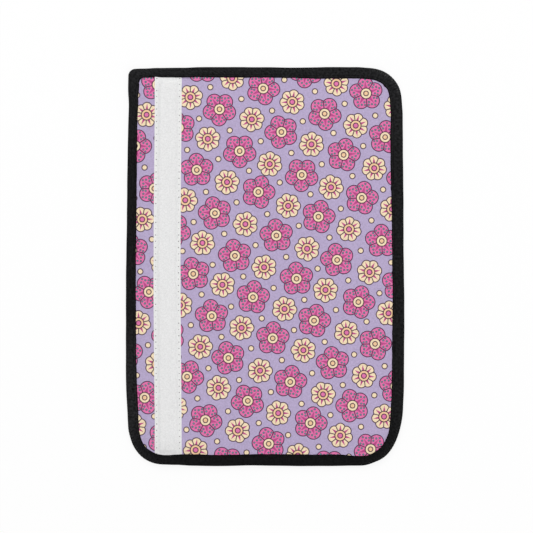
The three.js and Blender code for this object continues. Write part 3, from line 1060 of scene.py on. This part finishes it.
def mitre(points, corner):
    """Height of the ridge along the diagonal of the tight corner, on the upper flap."""
    from_corner = points[:, :2] - corner
    along = (from_corner[:, 0] - from_corner[:, 1]) / math.sqrt(2)
    beside = (from_corner[:, 0] + from_corner[:, 1]) / math.sqrt(2)
    apart, share = MITRE_SECOND
    ridge = np.exp(-((beside / MITRE_WIDTH) ** 2)) + share * np.exp(-(((beside + apart) / MITRE_WIDTH) ** 2))
    return MITRE_HEIGHT * ridge * smooth(along, *MITRE_START) * (1 - smooth(along, *MITRE_END))


def sweep(name, rows, material):
    """A closed tube through rings of equally many points, and where each ring lies across the tape. Its UV
    map is in metres, with u across and v along it."""
    rings = [ring_points(row) for row in rows]
    count = len(rings[0])
    pairs = zip(rings, rings[1:] + rings[:1])
    gaps = [np.linalg.norm(following - ring, axis=1).mean() for ring, following in pairs]
    across = np.concatenate([[0], np.cumsum(gaps)])
    along = np.append(PLACE, PERIMETER)
    faces = []
    uv = []
    for row in range(len(rings)):
        here = row * count
        there = (row + 1) % len(rings) * count
        for step in range(count):
            following = (step + 1) % count
            faces.append((here + step, here + following, there + following, there + step))
            low, high = across[row], across[row + 1]
            begin, end = along[step], along[step + 1]
            uv += [(low, begin), (low, end), (high, end), (high, begin)]
    return add_piece(name, np.concatenate(rings), faces, material, uv), across


def keep_value(piece, name, values):
    """Stores a value for each point of a piece, for its material to read."""
    piece.data.attributes.new(name, "FLOAT", "POINT").data.foreach_set("value", values.ravel())


tight_corner = np.array([-HALF_WIDTH + TOP_DRAW_IN, HALF_LENGTH])


def with_mitre(points):
    above = points[:, 2] > COVER_RIM_TOP + TAPE_THICKNESS / 2
    points[:, 2] += mitre(points, tight_corner) * above
    return points


binding, binding_across = sweep("binding", binding_rows, None)
move_points(binding, with_mitre)
flap_row_count = FLAP_STEPS + 3  # rows that flap_rows makes
fold_u = binding_across[flap_row_count + FOLD_STEPS // 2]
edge_u = binding_across[2 * flap_row_count + FOLD_STEPS - 3]
# Where the painted highlight on the tops of the gathers lies.
gather_highlight_share = np.clip(1 - abs(binding_across[:-1] - fold_u - GATHER_HIGHLIGHT_PLACE) / GATHER_HIGHLIGHT_WIDTH, 0, 1)
keep_value(binding, HIGHLIGHTED_GATHER_TOPS, gather_highlight_share[:, None] * (CORNER_SHARE * smooth(RIBS, 0.2, 1.0))[None])
# Painted light and shade along the tape, kept for each point.
keep_value(binding, PAINTED_LIGHT_AND_SHADE, np.tile(eased(PLACE, TAPE_PAINTED_LIGHT_AND_SHADE) / MM, len(binding_rows)))
binding.data.materials[0] = binding_cloth(fold_u / MM, edge_u / MM)
print("binding:", triangles(binding), "triangles, tape", round(binding_across[-1] / 2 / MM, 1), "mm wide")

# %% [markdown]
# ## The strips
# Each strip is a woven tape with bare woven edges. Between them, the loop strip is covered with fine raised
# loops and the hook strip with rows of nylon hooks. The tape is a swept section here. It bows outwards by
# three quarters of a millimetre at mid length and lies on the cloth, so each of its points takes its height
# from that cloth.

# %% The strips' sizes, and where their pile stands
STRIP_SPACING = 1.1 * MM
TAIL = {-1: 4.1 * MM, 1: 3.4 * MM}  # from the bottom and top end of the pad to the strip's cut ends
FLAP_REACH = 8 * MM
PILE_BODY = 0.93 * MM  # height of the matted foot of the loops, over the tape's face
HOOK_BODY = 0.18 * MM
HALF_STRIP = STRIP_WIDTH / 2
HALF_PILE = HALF_STRIP - SELVAGE
PILE_SLOPE = 2.6 * MM  # width over which the pile comes up to its full height
STANDING_UP = (FLAP_REACH - 0.6 * MM, FLAP_REACH + 1.2 * MM)  # depths between which the loops rise
MATTING = 0.1  # how uneven the foot of the pile is, as a share of its height


def strip_stations():
    return np.arange(-HALF_LENGTH + TAIL[-1], HALF_LENGTH - TAIL[1], STRIP_SPACING)


def standing(place):
    """How far up the loops stand: not at all under the binding's flaps, and fully a little way out."""
    depth, _ = from_edge(place)
    return smooth(depth, *STANDING_UP)


def pile_share(across):
    """How much of its full height the pile has at a place across the tape."""
    return smooth(HALF_PILE - abs(across), 0, PILE_SLOPE)


print("strips", round(STRIP_WIDTH / MM, 1), "mm wide, pile", round(2 * HALF_PILE / MM, 1), "mm")

# %% The strips' tapes, laid on the cloths
def tape_section():
    """Places across the tape, and the height of the bare tape over its seat at each."""
    right = [
        (HALF_STRIP, 0.0),
        (HALF_STRIP, 0.26 * MM),
        (HALF_STRIP - 0.12 * MM, STRIP_BASE),
        (HALF_STRIP - 0.9 * MM, STRIP_BASE),
        (HALF_STRIP - STRIP_SEAM_INSET * MM, STRIP_BASE - 0.07 * MM),
        (HALF_STRIP - 1.7 * MM, STRIP_BASE),
    ]
    middle = [(place, STRIP_BASE) for place in np.linspace(HALF_PILE, -HALF_PILE, 27)]
    left = [(-place, height) for place, height in reversed(right)]
    return np.array(right + middle + left)


def strip_tape(name, side, way, seat, body, material):
    """A strip's tape as a closed mesh. way is 1 where its face looks up and -1 where it looks down."""
    section = tape_section()
    y = strip_stations()
    x = strip_centre(side, y)[:, None] + section[None, :, 0]
    place = places(x, y).reshape(-1, 2)
    down = y[:, None]
    rough = MATTING * np.sin(x / (0.9 * MM) + 3 * np.sin(down / (4 * MM))) * np.sin(down / (1.3 * MM))
    pile = body * pile_share(section[:, 0])[None] * standing(place).reshape(x.shape)
    rise = section[None, :, 1] + pile * (1 + rough)
    points = np.column_stack([place, seat(place) + way * rise.ravel()])
    rows, columns = x.shape
    index = np.arange(rows * columns).reshape(rows, columns)
    following = np.roll(index, -1, axis=1)
    quads = np.stack([index[:-1], following[:-1], following[1:], index[1:]], axis=-1).reshape(-1, 4)
    faces = quads.tolist() + [index[0].tolist(), index[-1, ::-1].tolist()]
    flat = places(np.broadcast_to(section[:, 0], x.shape), y).reshape(-1, 2)
    piece = add_piece(name, points, faces, material, [flat[corner] for face in faces for corner in face])
    face_outwards(piece)
    return piece


def on_the_cover(points):
    return cover_height(points) + LAYER_GAP


def under_the_lining(points):
    return np.full(len(points), LINING_RIM - LAYER_GAP)


LOOP_STRIP = {"side": -1, "way": UPPER, "seat": on_the_cover}
HOOK_STRIP = {"side": 1, "way": LOWER, "seat": under_the_lining}
loop_tape = strip_tape("loop_tape", body=PILE_BODY, material=WHITE_TAPE, **LOOP_STRIP)
hook_tape = strip_tape("hook_tape", body=HOOK_BODY, material=HOOK_TAPE, **HOOK_STRIP)
print("tapes:", triangles(loop_tape), "and", triangles(hook_tape), "triangles")

# %% [markdown]
# ## Loops, hooks and stitches by Geometry Nodes
# Thousands of small like shapes are what Geometry Nodes are for: one shape, points for it to stand on, and
# a formula for how each copy is turned. Each tree below is built in the script, has its sizes as named
# inputs and ends in a real mesh, because instances are lost when the model is exported.

# %% Helpers for Geometry Nodes
def new_tree(name, sizes):
    """An empty tree with a geometry input and output, and an input for each name in sizes."""
    tree = bpy.data.node_groups.new(name, "GeometryNodeTree")
    tree.interface.new_socket("Geometry", in_out="INPUT", socket_type="NodeSocketGeometry")
    for label, kind in sizes.items():
        tree.interface.new_socket(label, in_out="INPUT", socket_type=kind)
    tree.interface.new_socket("Geometry", in_out="OUTPUT", socket_type="NodeSocketGeometry")
    start = Wire(tree)
    entry = tree.nodes.new("NodeGroupInput")
    return tree, start, {socket.name: Wire(tree, socket) for socket in entry.outputs if socket.name}


def end_tree(start, stands, material):
    """Stands copies of a shape on points, turns them into a real mesh with a material, and ends the tree."""
    instances = start.node("GeometryNodeInstanceOnPoints", inputs=stands)
    real = start.node("GeometryNodeRealizeInstances", inputs={0: instances})
    dressed = start.node("GeometryNodeSetMaterial", inputs={"Geometry": real, "Material": material})
    start.node("NodeGroupOutput", inputs={0: dressed})


def grown(name, guide, tree, values):
    """The mesh that a tree grows on a guide mesh, as a piece of its own. The guide is removed."""
    grower = guide.modifiers.new("grower", "NODES")
    grower.node_group = tree
    inputs = [item for item in tree.interface.items_tree if item.in_out == "INPUT"]
    identifiers = {item.name: item.identifier for item in inputs}
    for label, value in values.items():
        grower[identifiers[label]] = value
    settled(guide)
    guide.name = name
    guide.data.name = name
    guide.data.shade_smooth()
    return guide


def tube(start, line, radius, sides):
    """A thread of the given radius along a curve."""
    ring = start.node("GeometryNodeCurvePrimitiveCircle", inputs={"Resolution": sides, "Radius": radius})
    curves = {"Curve": line, "Profile Curve": ring, "Fill Caps": True}
    return start.node("GeometryNodeCurveToMesh", inputs=curves)


def arch(start, radius, yarn, sweep_angle, steps, sides):
    """A thin tube bent into an arch that stands upright over the origin."""
    angles = {"Start Angle": (math.pi - sweep_angle) / 2, "Sweep Angle": sweep_angle}
    line = start.node("GeometryNodeCurveArc", inputs={"Resolution": steps, "Radius": radius, **angles})
    upright = {"Geometry": tube(start, line, yarn, sides), "Rotation": (math.pi / 2, 0, 0)}
    return start.node("GeometryNodeTransform", inputs=upright)


print("Geometry Nodes helpers ready")

# %% [markdown]
# A loop is a short arch of yarn. The arches stand at random on the matted foot of the pile, turned and
# tilted at random, which is how brushed loops look. Poisson spacing keeps them from standing inside each
# other.

# %% The loops
FLOAT = "NodeSocketFloat"
INTEGER = "NodeSocketInt"
LOOP_DENSITY = 4e6  # to the square metre, which is more than the spacing lets stand
LOOP_SCALES = (0.75, 1.2)
PATCH_CLEARANCE = 0.5 * MM  # from the flaps to the first loops and hooks


def random_float(start, low, high, seed):
    return start.node("FunctionNodeRandomValue", inputs={2: low, 3: high, "Seed": seed}, output=1)


def loop_tree(material):
    sizes = {"Spacing": FLOAT, "Radius": FLOAT, "Yarn": FLOAT, "Tilt": FLOAT, "Seed": INTEGER}
    tree, start, size = new_tree("loops", sizes)
    spread = {
        "Mesh": size["Geometry"],
        "Distance Min": size["Spacing"],
        "Density Max": LOOP_DENSITY,
        "Seed": size["Seed"],
    }
    points = start.node("GeometryNodeDistributePointsOnFaces", {"distribute_method": "POISSON"}, spread)
    tilt = size["Tilt"]
    turns = {
        0: start.vector(tilt * -1, tilt * -1, 0.0),
        1: start.vector(tilt, tilt, 2 * math.pi),
        "Seed": size["Seed"],
    }
    turn = start.node("FunctionNodeRandomValue", {"data_type": "FLOAT_VECTOR"}, turns)
    stands = {
        "Points": points,
        "Instance": arch(start, size["Radius"], size["Yarn"], math.radians(230), steps=7, sides=3),
        "Rotation": start.node("FunctionNodeEulerToRotation", inputs={0: turn}),
        "Scale": random_float(start, *LOOP_SCALES, size["Seed"] + 1),
    }
    end_tree(start, stands, material)
    return tree


def patch(name, side, way, seat, body, lift, spacing, margin):
    """A sheet of points over a strip's middle, where its loops or hooks stand, lift over the foot of the
    pile. It ends at the binding's flaps, also where they curve."""
    y = np.arange(-HALF_LENGTH + FLAP_REACH, HALF_LENGTH - FLAP_REACH, spacing)
    steps = round(2 * (HALF_PILE - margin) / spacing)
    across = np.linspace(-HALF_PILE + margin, HALF_PILE - margin, steps + 1)
    x = strip_centre(side, y)[:, None] + across[None]
    place = places(x, y).reshape(-1, 2)
    pile = body * (pile_share(across)[None] * standing(place).reshape(x.shape)).ravel()
    points = np.column_stack([place, seat(place) + way * (STRIP_BASE + pile + lift)])
    clear = from_edge(place)[0] > FLAP_REACH + PATCH_CLEARANCE
    faces = grid_faces(*x.shape)
    used, faces = np.unique(faces[clear[faces].all(axis=1)], return_inverse=True)
    return add_piece(name, points[used], faces.reshape(-1, 4), WHITE_TAPE)


LOOP_SIZES = {"Spacing": 0.62 * MM, "Radius": 0.34 * MM, "Yarn": 0.065 * MM, "Tilt": 0.6, "Seed": 7}
loop_grid = {"lift": -0.16 * MM, "spacing": 1.2 * MM, "margin": 0.3 * MM}
loop_patch = patch("loop_patch", body=PILE_BODY, **loop_grid, **LOOP_STRIP)
loops = grown("loops", loop_patch, loop_tree(LOOP_YARN), LOOP_SIZES)
print("loops:", triangles(loops), "triangles")

# %% [markdown]
# A hook is a stiff bent thread, more than half a circle, so that it can catch a loop. Hooks stand in rows
# and every second one faces the other way, so they are set on the points of a grid instead of at random.

# %% The hooks
HOOK_WOBBLE = 0.2  # how far a hook may be turned out of its row, in radians


def hook_tree(material):
    tree, start, size = new_tree("hooks", {"Radius": FLOAT, "Thread": FLOAT, "Seed": INTEGER})
    facing = (start.node("GeometryNodeInputIndex") * 0.5).fraction() * 2
    wobble = random_float(start, -HOOK_WOBBLE, HOOK_WOBBLE, size["Seed"])
    turn = start.vector(math.pi, 0.0, facing * math.pi + wobble + math.pi / 2)
    stands = {
        "Points": size["Geometry"],
        "Instance": arch(start, size["Radius"], size["Thread"], math.radians(260), steps=9, sides=4),
        "Rotation": start.node("FunctionNodeEulerToRotation", inputs={0: turn}),
    }
    end_tree(start, stands, material)
    return tree


HOOK_SIZES = {"Radius": 0.36 * MM, "Thread": 0.085 * MM, "Seed": 5}
hook_grid = {"lift": 0.32 * MM, "spacing": 1.45 * MM, "margin": 0.5 * MM}
hook_patch = patch("hook_patch", body=HOOK_BODY, **hook_grid, **HOOK_STRIP)
hooks = grown("hooks", hook_patch, hook_tree(HOOK_NYLON), HOOK_SIZES)
print("hooks:", triangles(hooks), "triangles")

# %% [markdown]
# A stitch is a short length of thread that rises out of one needle hole and dives into the next. One kind
# of tree sews all six seams: it takes a path, sets stitches along it and turns each to follow the path, with
# its back to the cloth.

# %% The stitches
THREAD_RADIUS = 0.17 * MM
STITCH_DIP = 0.13 * MM  # how deep a stitch's ends go into the cloth
CREST = 1.3  # how far up its middle is pulled, in dips
STRIP_STITCH = NEEDLE_PITCH * MM
STRIP_STITCH_LENGTH = 0.86 * STRIP_STITCH
BINDING_STITCH_LENGTH = 0.84 * STITCH_PITCH
STRIP_SEAM_HEIGHT = 0.02 * MM
BINDING_SEAM_HEIGHT = 0.1 * MM
SEAM_UNDER_FLAP = 1.2 * MM  # how far the strips' seams run on under the flaps


def stitch_tree(name, material):
    sizes = {"Stitches": INTEGER, "Length": FLOAT, "Thread": FLOAT, "Dip": FLOAT, "Facing": FLOAT}
    tree, start, size = new_tree(name, sizes)
    path = start.node("GeometryNodeMeshToCurve", inputs={"Mesh": size["Geometry"]})
    spots = start.node("GeometryNodeResampleCurve", inputs={"Curve": path, "Count": size["Stitches"]})
    heading = start.node("GeometryNodeInputTangent")
    up = start.vector(0.0, 0.0, size["Facing"])
    axes = {"primary_axis": "X", "secondary_axis": "Z"}
    turned = start.node("FunctionNodeAxesToRotation", axes, {0: heading, 1: up})
    bend = {
        "Resolution": 7,
        "Start": start.vector(size["Length"] * -0.5, 0.0, size["Dip"] * -1),
        "Middle": start.vector(0.0, 0.0, size["Dip"] * CREST),
        "End": start.vector(size["Length"] * 0.5, 0.0, size["Dip"] * -1),
    }
    line = start.node("GeometryNodeCurveQuadraticBezier", inputs=bend)
    stitch = tube(start, line, size["Thread"], sides=7)
    stands = {"Points": spots, "Instance": stitch, "Rotation": turned}
    end_tree(start, stands, material)
    return tree


WHITE_STITCHES = stitch_tree("white_stitches", WHITE_THREAD)
BLACK_STITCHES = stitch_tree("black_stitches", BLACK_THREAD)


def sew(name, points, closed, tree, stitches, length, facing):
    """A seam along a path of points. facing is 1 where it is seen from above and -1 from below."""
    mesh = bpy.data.meshes.new(name)
    edges = [(index, index + 1) for index in range(len(points) - 1)]
    if closed:
        edges.append((len(points) - 1, 0))
    mesh.from_pydata(points.tolist(), edges, [])
    path = bpy.data.objects.new(name + "_path", mesh)
    bpy.context.scene.collection.objects.link(path)
    thread = {"Thread": THREAD_RADIUS, "Dip": STITCH_DIP, "Facing": facing}
    return grown(name, path, tree, {"Stitches": stitches, "Length": length, **thread})


print("threads", round(2 * THREAD_RADIUS / MM, 2), "mm thick")


# %% Sew the seams
def strip_seam(name, edge, side, way, seat):
    """One line of stitches along a strip. edge is -1 for the strip's left edge and 1 for its right one."""
    clear = HALF_LENGTH - FLAP_REACH + SEAM_UNDER_FLAP
    first = math.ceil((-clear - STRIP_STITCH / 2) / STRIP_STITCH)
    last = math.floor((clear - STRIP_STITCH / 2) / STRIP_STITCH)
    y = (np.arange(first, last + 1) + 0.5) * STRIP_STITCH
    x = strip_centre(side, y) + edge * (HALF_STRIP - STRIP_SEAM_INSET * MM)
    place = np.column_stack([x, y])
    points = np.column_stack([place, seat(place) + way * (STRIP_BASE + STRIP_SEAM_HEIGHT)])
    return sew(name, points, False, WHITE_STITCHES, len(points), STRIP_STITCH_LENGTH, way)


def binding_seam(name, way):
    """The line of stitches along a flap of the binding."""
    inset = {side: FLAP_WIDTH[way][side] - BINDING_SEAM_INSET for side in SIDES}
    seam_share = (FLAP["top"] - BINDING_SEAM_INSET - FOLD_DEPTH) / (FLAP["top"] - FOLD_DEPTH)
    ring = outline(inset) + INWARD * (DRIFT[way] * seam_share)[:, None]
    height = FLAP_SEAT[way] + way * (TAPE_THICKNESS + BINDING_SEAM_HEIGHT)
    points = np.column_stack([ring, height])
    return sew(name, points, True, BLACK_STITCHES, STITCHES, BINDING_STITCH_LENGTH, way)


seams = {
    "loop_strip_outer_seam": strip_seam("loop_strip_outer_stitches", edge=-1, **LOOP_STRIP),
    "loop_strip_inner_seam": strip_seam("loop_strip_inner_stitches", edge=1, **LOOP_STRIP),
    "hook_strip_outer_seam": strip_seam("hook_strip_outer_stitches", edge=1, **HOOK_STRIP),
    "hook_strip_inner_seam": strip_seam("hook_strip_inner_stitches", edge=-1, **HOOK_STRIP),
    "binding_top_seam": binding_seam("binding_top_stitches", UPPER),
    "binding_under_seam": binding_seam("binding_under_stitches", LOWER),
}
print("stitches:", {seam.name: triangles(seam) for seam in seams.values()})

# %% [markdown]
# All the pieces are made now. One list names each with the solid it stands for and its finish, because two
# more steps go through them all: the one that follows, and the last.

# %% What each piece stands for
STANDS_FOR = [  # piece, the solids it stands for, its finish
    (cover, ["outer_cover"], "printed_fabric"),
    (foam, ["foam_core"], "foam"),
    (lining, ["inner_lining"], "lining_fabric"),
    (binding, ["edge_binding"], "binding_tape"),
    (loop_tape, ["loop_strip"], "loop_tape"),
    (loops, [], "loop_tape"),
    (hook_tape, ["hook_strip"], "hook_tape"),
    (hooks, [], "hook_tape"),
]
for solid, seam in seams.items():
    thread = "black_thread" if solid.startswith("binding") else "white_thread"
    STANDS_FOR.append((seam, [solid], thread))
print("pieces:", len(STANDS_FOR))

# %% [markdown]
# ## Nothing sewn is straight
# The real edge wanders from the pattern's clean outline by about a millimetre, most of all at the upper
# left corner. One smooth shift of the whole pad near its edges gives that. Every piece is moved by the same
# function, so that what lay on something still lies on it.

# %% Let the edge wander
# By side: millimetres along it from the pad's middle, and how many the edge lies further in there.
EDGE_WANDER = {
    "top": (
        (-86, 1.2), (-78, 0.95), (-68, 0.5), (-54, 0.4), (-42, 0), (0, 0), (22, 0.3), (42, 0),
        (58, -0.1), (67, 0.4), (80, 0),
    ),
    "bottom": (
        (-80, 0.2), (-65, 0.9), (-57, 0.7), (-46, 0), (-30, -0.2), (-10, 0.3), (24, -0.2), (68, 0.2),
        (78, -0.8),
    ),
    "left": (
        (-117, -0.4), (-106, 0.4), (-99, 0.8), (-72, -0.1), (-40, -0.2), (84, 0.4), (102, 0.7),
        (114, 0.2),
    ),
    "right": (
        (-115, 0), (-98, 0.7), (-70, 0), (-40, -0.2), (20, 0.1), (96, 0), (106, 0.5), (116, 0),
    ),
}
WANDER_REACH = (8 * MM, 22 * MM)  # how far in from a side its wander begins and ends to fade


def wandered(points):
    shift = np.zeros_like(points)
    for axis, half, sides in ((0, HALF_WIDTH, ("left", "right")), (1, HALF_LENGTH, ("bottom", "top"))):
        reach = 1 - smooth(half - abs(points[:, axis]), *WANDER_REACH)
        low, high = (eased(points[:, 1 - axis], EDGE_WANDER[side]) for side in sides)
        shift[:, axis] = reach * np.where(points[:, axis] < 0, low, -high)
    return points + shift


for piece, _, _ in STANDS_FOR:
    move_points(piece, wandered)
widest = max(abs(shift) for knots in EDGE_WANDER.values() for _, shift in knots)
print("the edge wanders by up to", widest, "mm")

# %% [markdown]
# ## Table, light and camera
# The photograph is a plain product picture from straight above on pure white. The table is white to the
# camera and still takes a soft shadow: it is mostly a white that shines by itself for camera rays, with a
# share of real white. Two large lamps and an even sky light the pad at a level at which a colour looks as
# it was written.

# %% The table
TABLE_SIZE = 6.0
TABLE_DROP = 0.1 * MM
SELF_WHITE = 0.86


def looked_at(start):
    """1 for what the camera sees straight, in a reflection or through glass, and 0 for light that bounces."""
    rays = ("Is Camera Ray", "Is Glossy Ray", "Is Transmission Ray")
    direct, reflected, through = (start.node("ShaderNodeLightPath", output=ray) for ray in rays)
    return direct + reflected + through


def table_material():
    material = bpy.data.materials.new("white_table")
    material.use_nodes = True
    tree = material.node_tree
    tree.nodes.clear()
    start = Wire(tree)
    seen = looked_at(start) * SELF_WHITE
    shaded = start.node("ShaderNodeBsdfDiffuse", inputs={"Color": linear(250, 250, 250)})
    shining = start.node("ShaderNodeEmission", inputs={"Color": (1, 1, 1, 1), "Strength": 1.0})
    mixed = start.node("ShaderNodeMixShader", inputs={0: seen, 1: shaded, 2: shining})
    start.node("ShaderNodeOutputMaterial", inputs={"Surface": mixed})
    return material


half = TABLE_SIZE / 2
corners = [(x, y, -TABLE_DROP) for x, y in ((-half, -half), (half, -half), (half, half), (-half, half))]
table = add_piece("table", corners, [(0, 1, 2, 3)], table_material())
print("table", TABLE_SIZE, "m square")

# %% Light
SKY_STRENGTH = 0.48
LAMPS = (  # name, place, size and watts; each looks at the middle of the pad
    ("softbox_top", (-0.25, 1.0, 1.5), 1.3, 17.0),
    ("softbox_right", (0.75, -0.8, 1.45), 1.3, 7.7),
)
world = bpy.data.worlds.new("studio")
bpy.context.scene.world = world
world.use_nodes = True
background = world.node_tree.nodes["Background"]
sky = Wire(world.node_tree)
background.inputs["Color"].default_value = (1, 1, 1, 1)
plug(background, "Strength", looked_at(sky) * (1 - SKY_STRENGTH) + SKY_STRENGTH)


def aim(thing, place):
    """Puts a lamp at a place and turns it to look at the middle of the pad."""
    thing.location = place
    thing.rotation_euler = (-thing.location).to_track_quat("-Z", "Y").to_euler()


for name, place, size, watts in LAMPS:
    light = bpy.data.lights.new(name, "AREA")
    light.size = size
    light.energy = watts
    lamp = bpy.data.objects.new(name, light)
    bpy.context.scene.collection.objects.link(lamp)
    aim(lamp, place)
print("lamps:", len(LAMPS), "and a sky of", SKY_STRENGTH)

# %% Camera
PHOTO_WIDTH = 533
PAD_WIDTH_IN_PHOTO = 278.0
PAD_MIDDLE_IN_PHOTO = 265.1
CAMERA_LENS = 100.0
SENSOR = 36.0
metres_per_pixel = 2 * HALF_WIDTH / PAD_WIDTH_IN_PHOTO
camera_height = (COVER_RIM_TOP + LINING_RIM) / 2 + PHOTO_WIDTH * metres_per_pixel * CAMERA_LENS / SENSOR
camera_data = bpy.data.cameras.new("camera")
camera_data.lens = CAMERA_LENS
camera_data.sensor_width = SENSOR
camera = bpy.data.objects.new("camera", camera_data)
camera.location = ((PHOTO_WIDTH / 2 - PAD_MIDDLE_IN_PHOTO) * metres_per_pixel, 0, camera_height)
bpy.context.scene.collection.objects.link(camera)
bpy.context.scene.camera = camera
bpy.context.scene.view_settings.view_transform = "Standard"
print(f"camera {camera_height:.3f} m over the pad, {metres_per_pixel / MM:.3f} mm to a pixel")

# %% [markdown]
# ## Hand the pieces over
# Each piece is attached to a body, and the solids it stands for are hidden. Everything rides on the one
# body, because the pad has no joint.

# %% Bodies and solids
for piece, solids, finish in STANDS_FOR:
    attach(piece, "root")
    if solids:
        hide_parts(*solids)
print("finishes:", len({finish for _, _, finish in STANDS_FOR}))
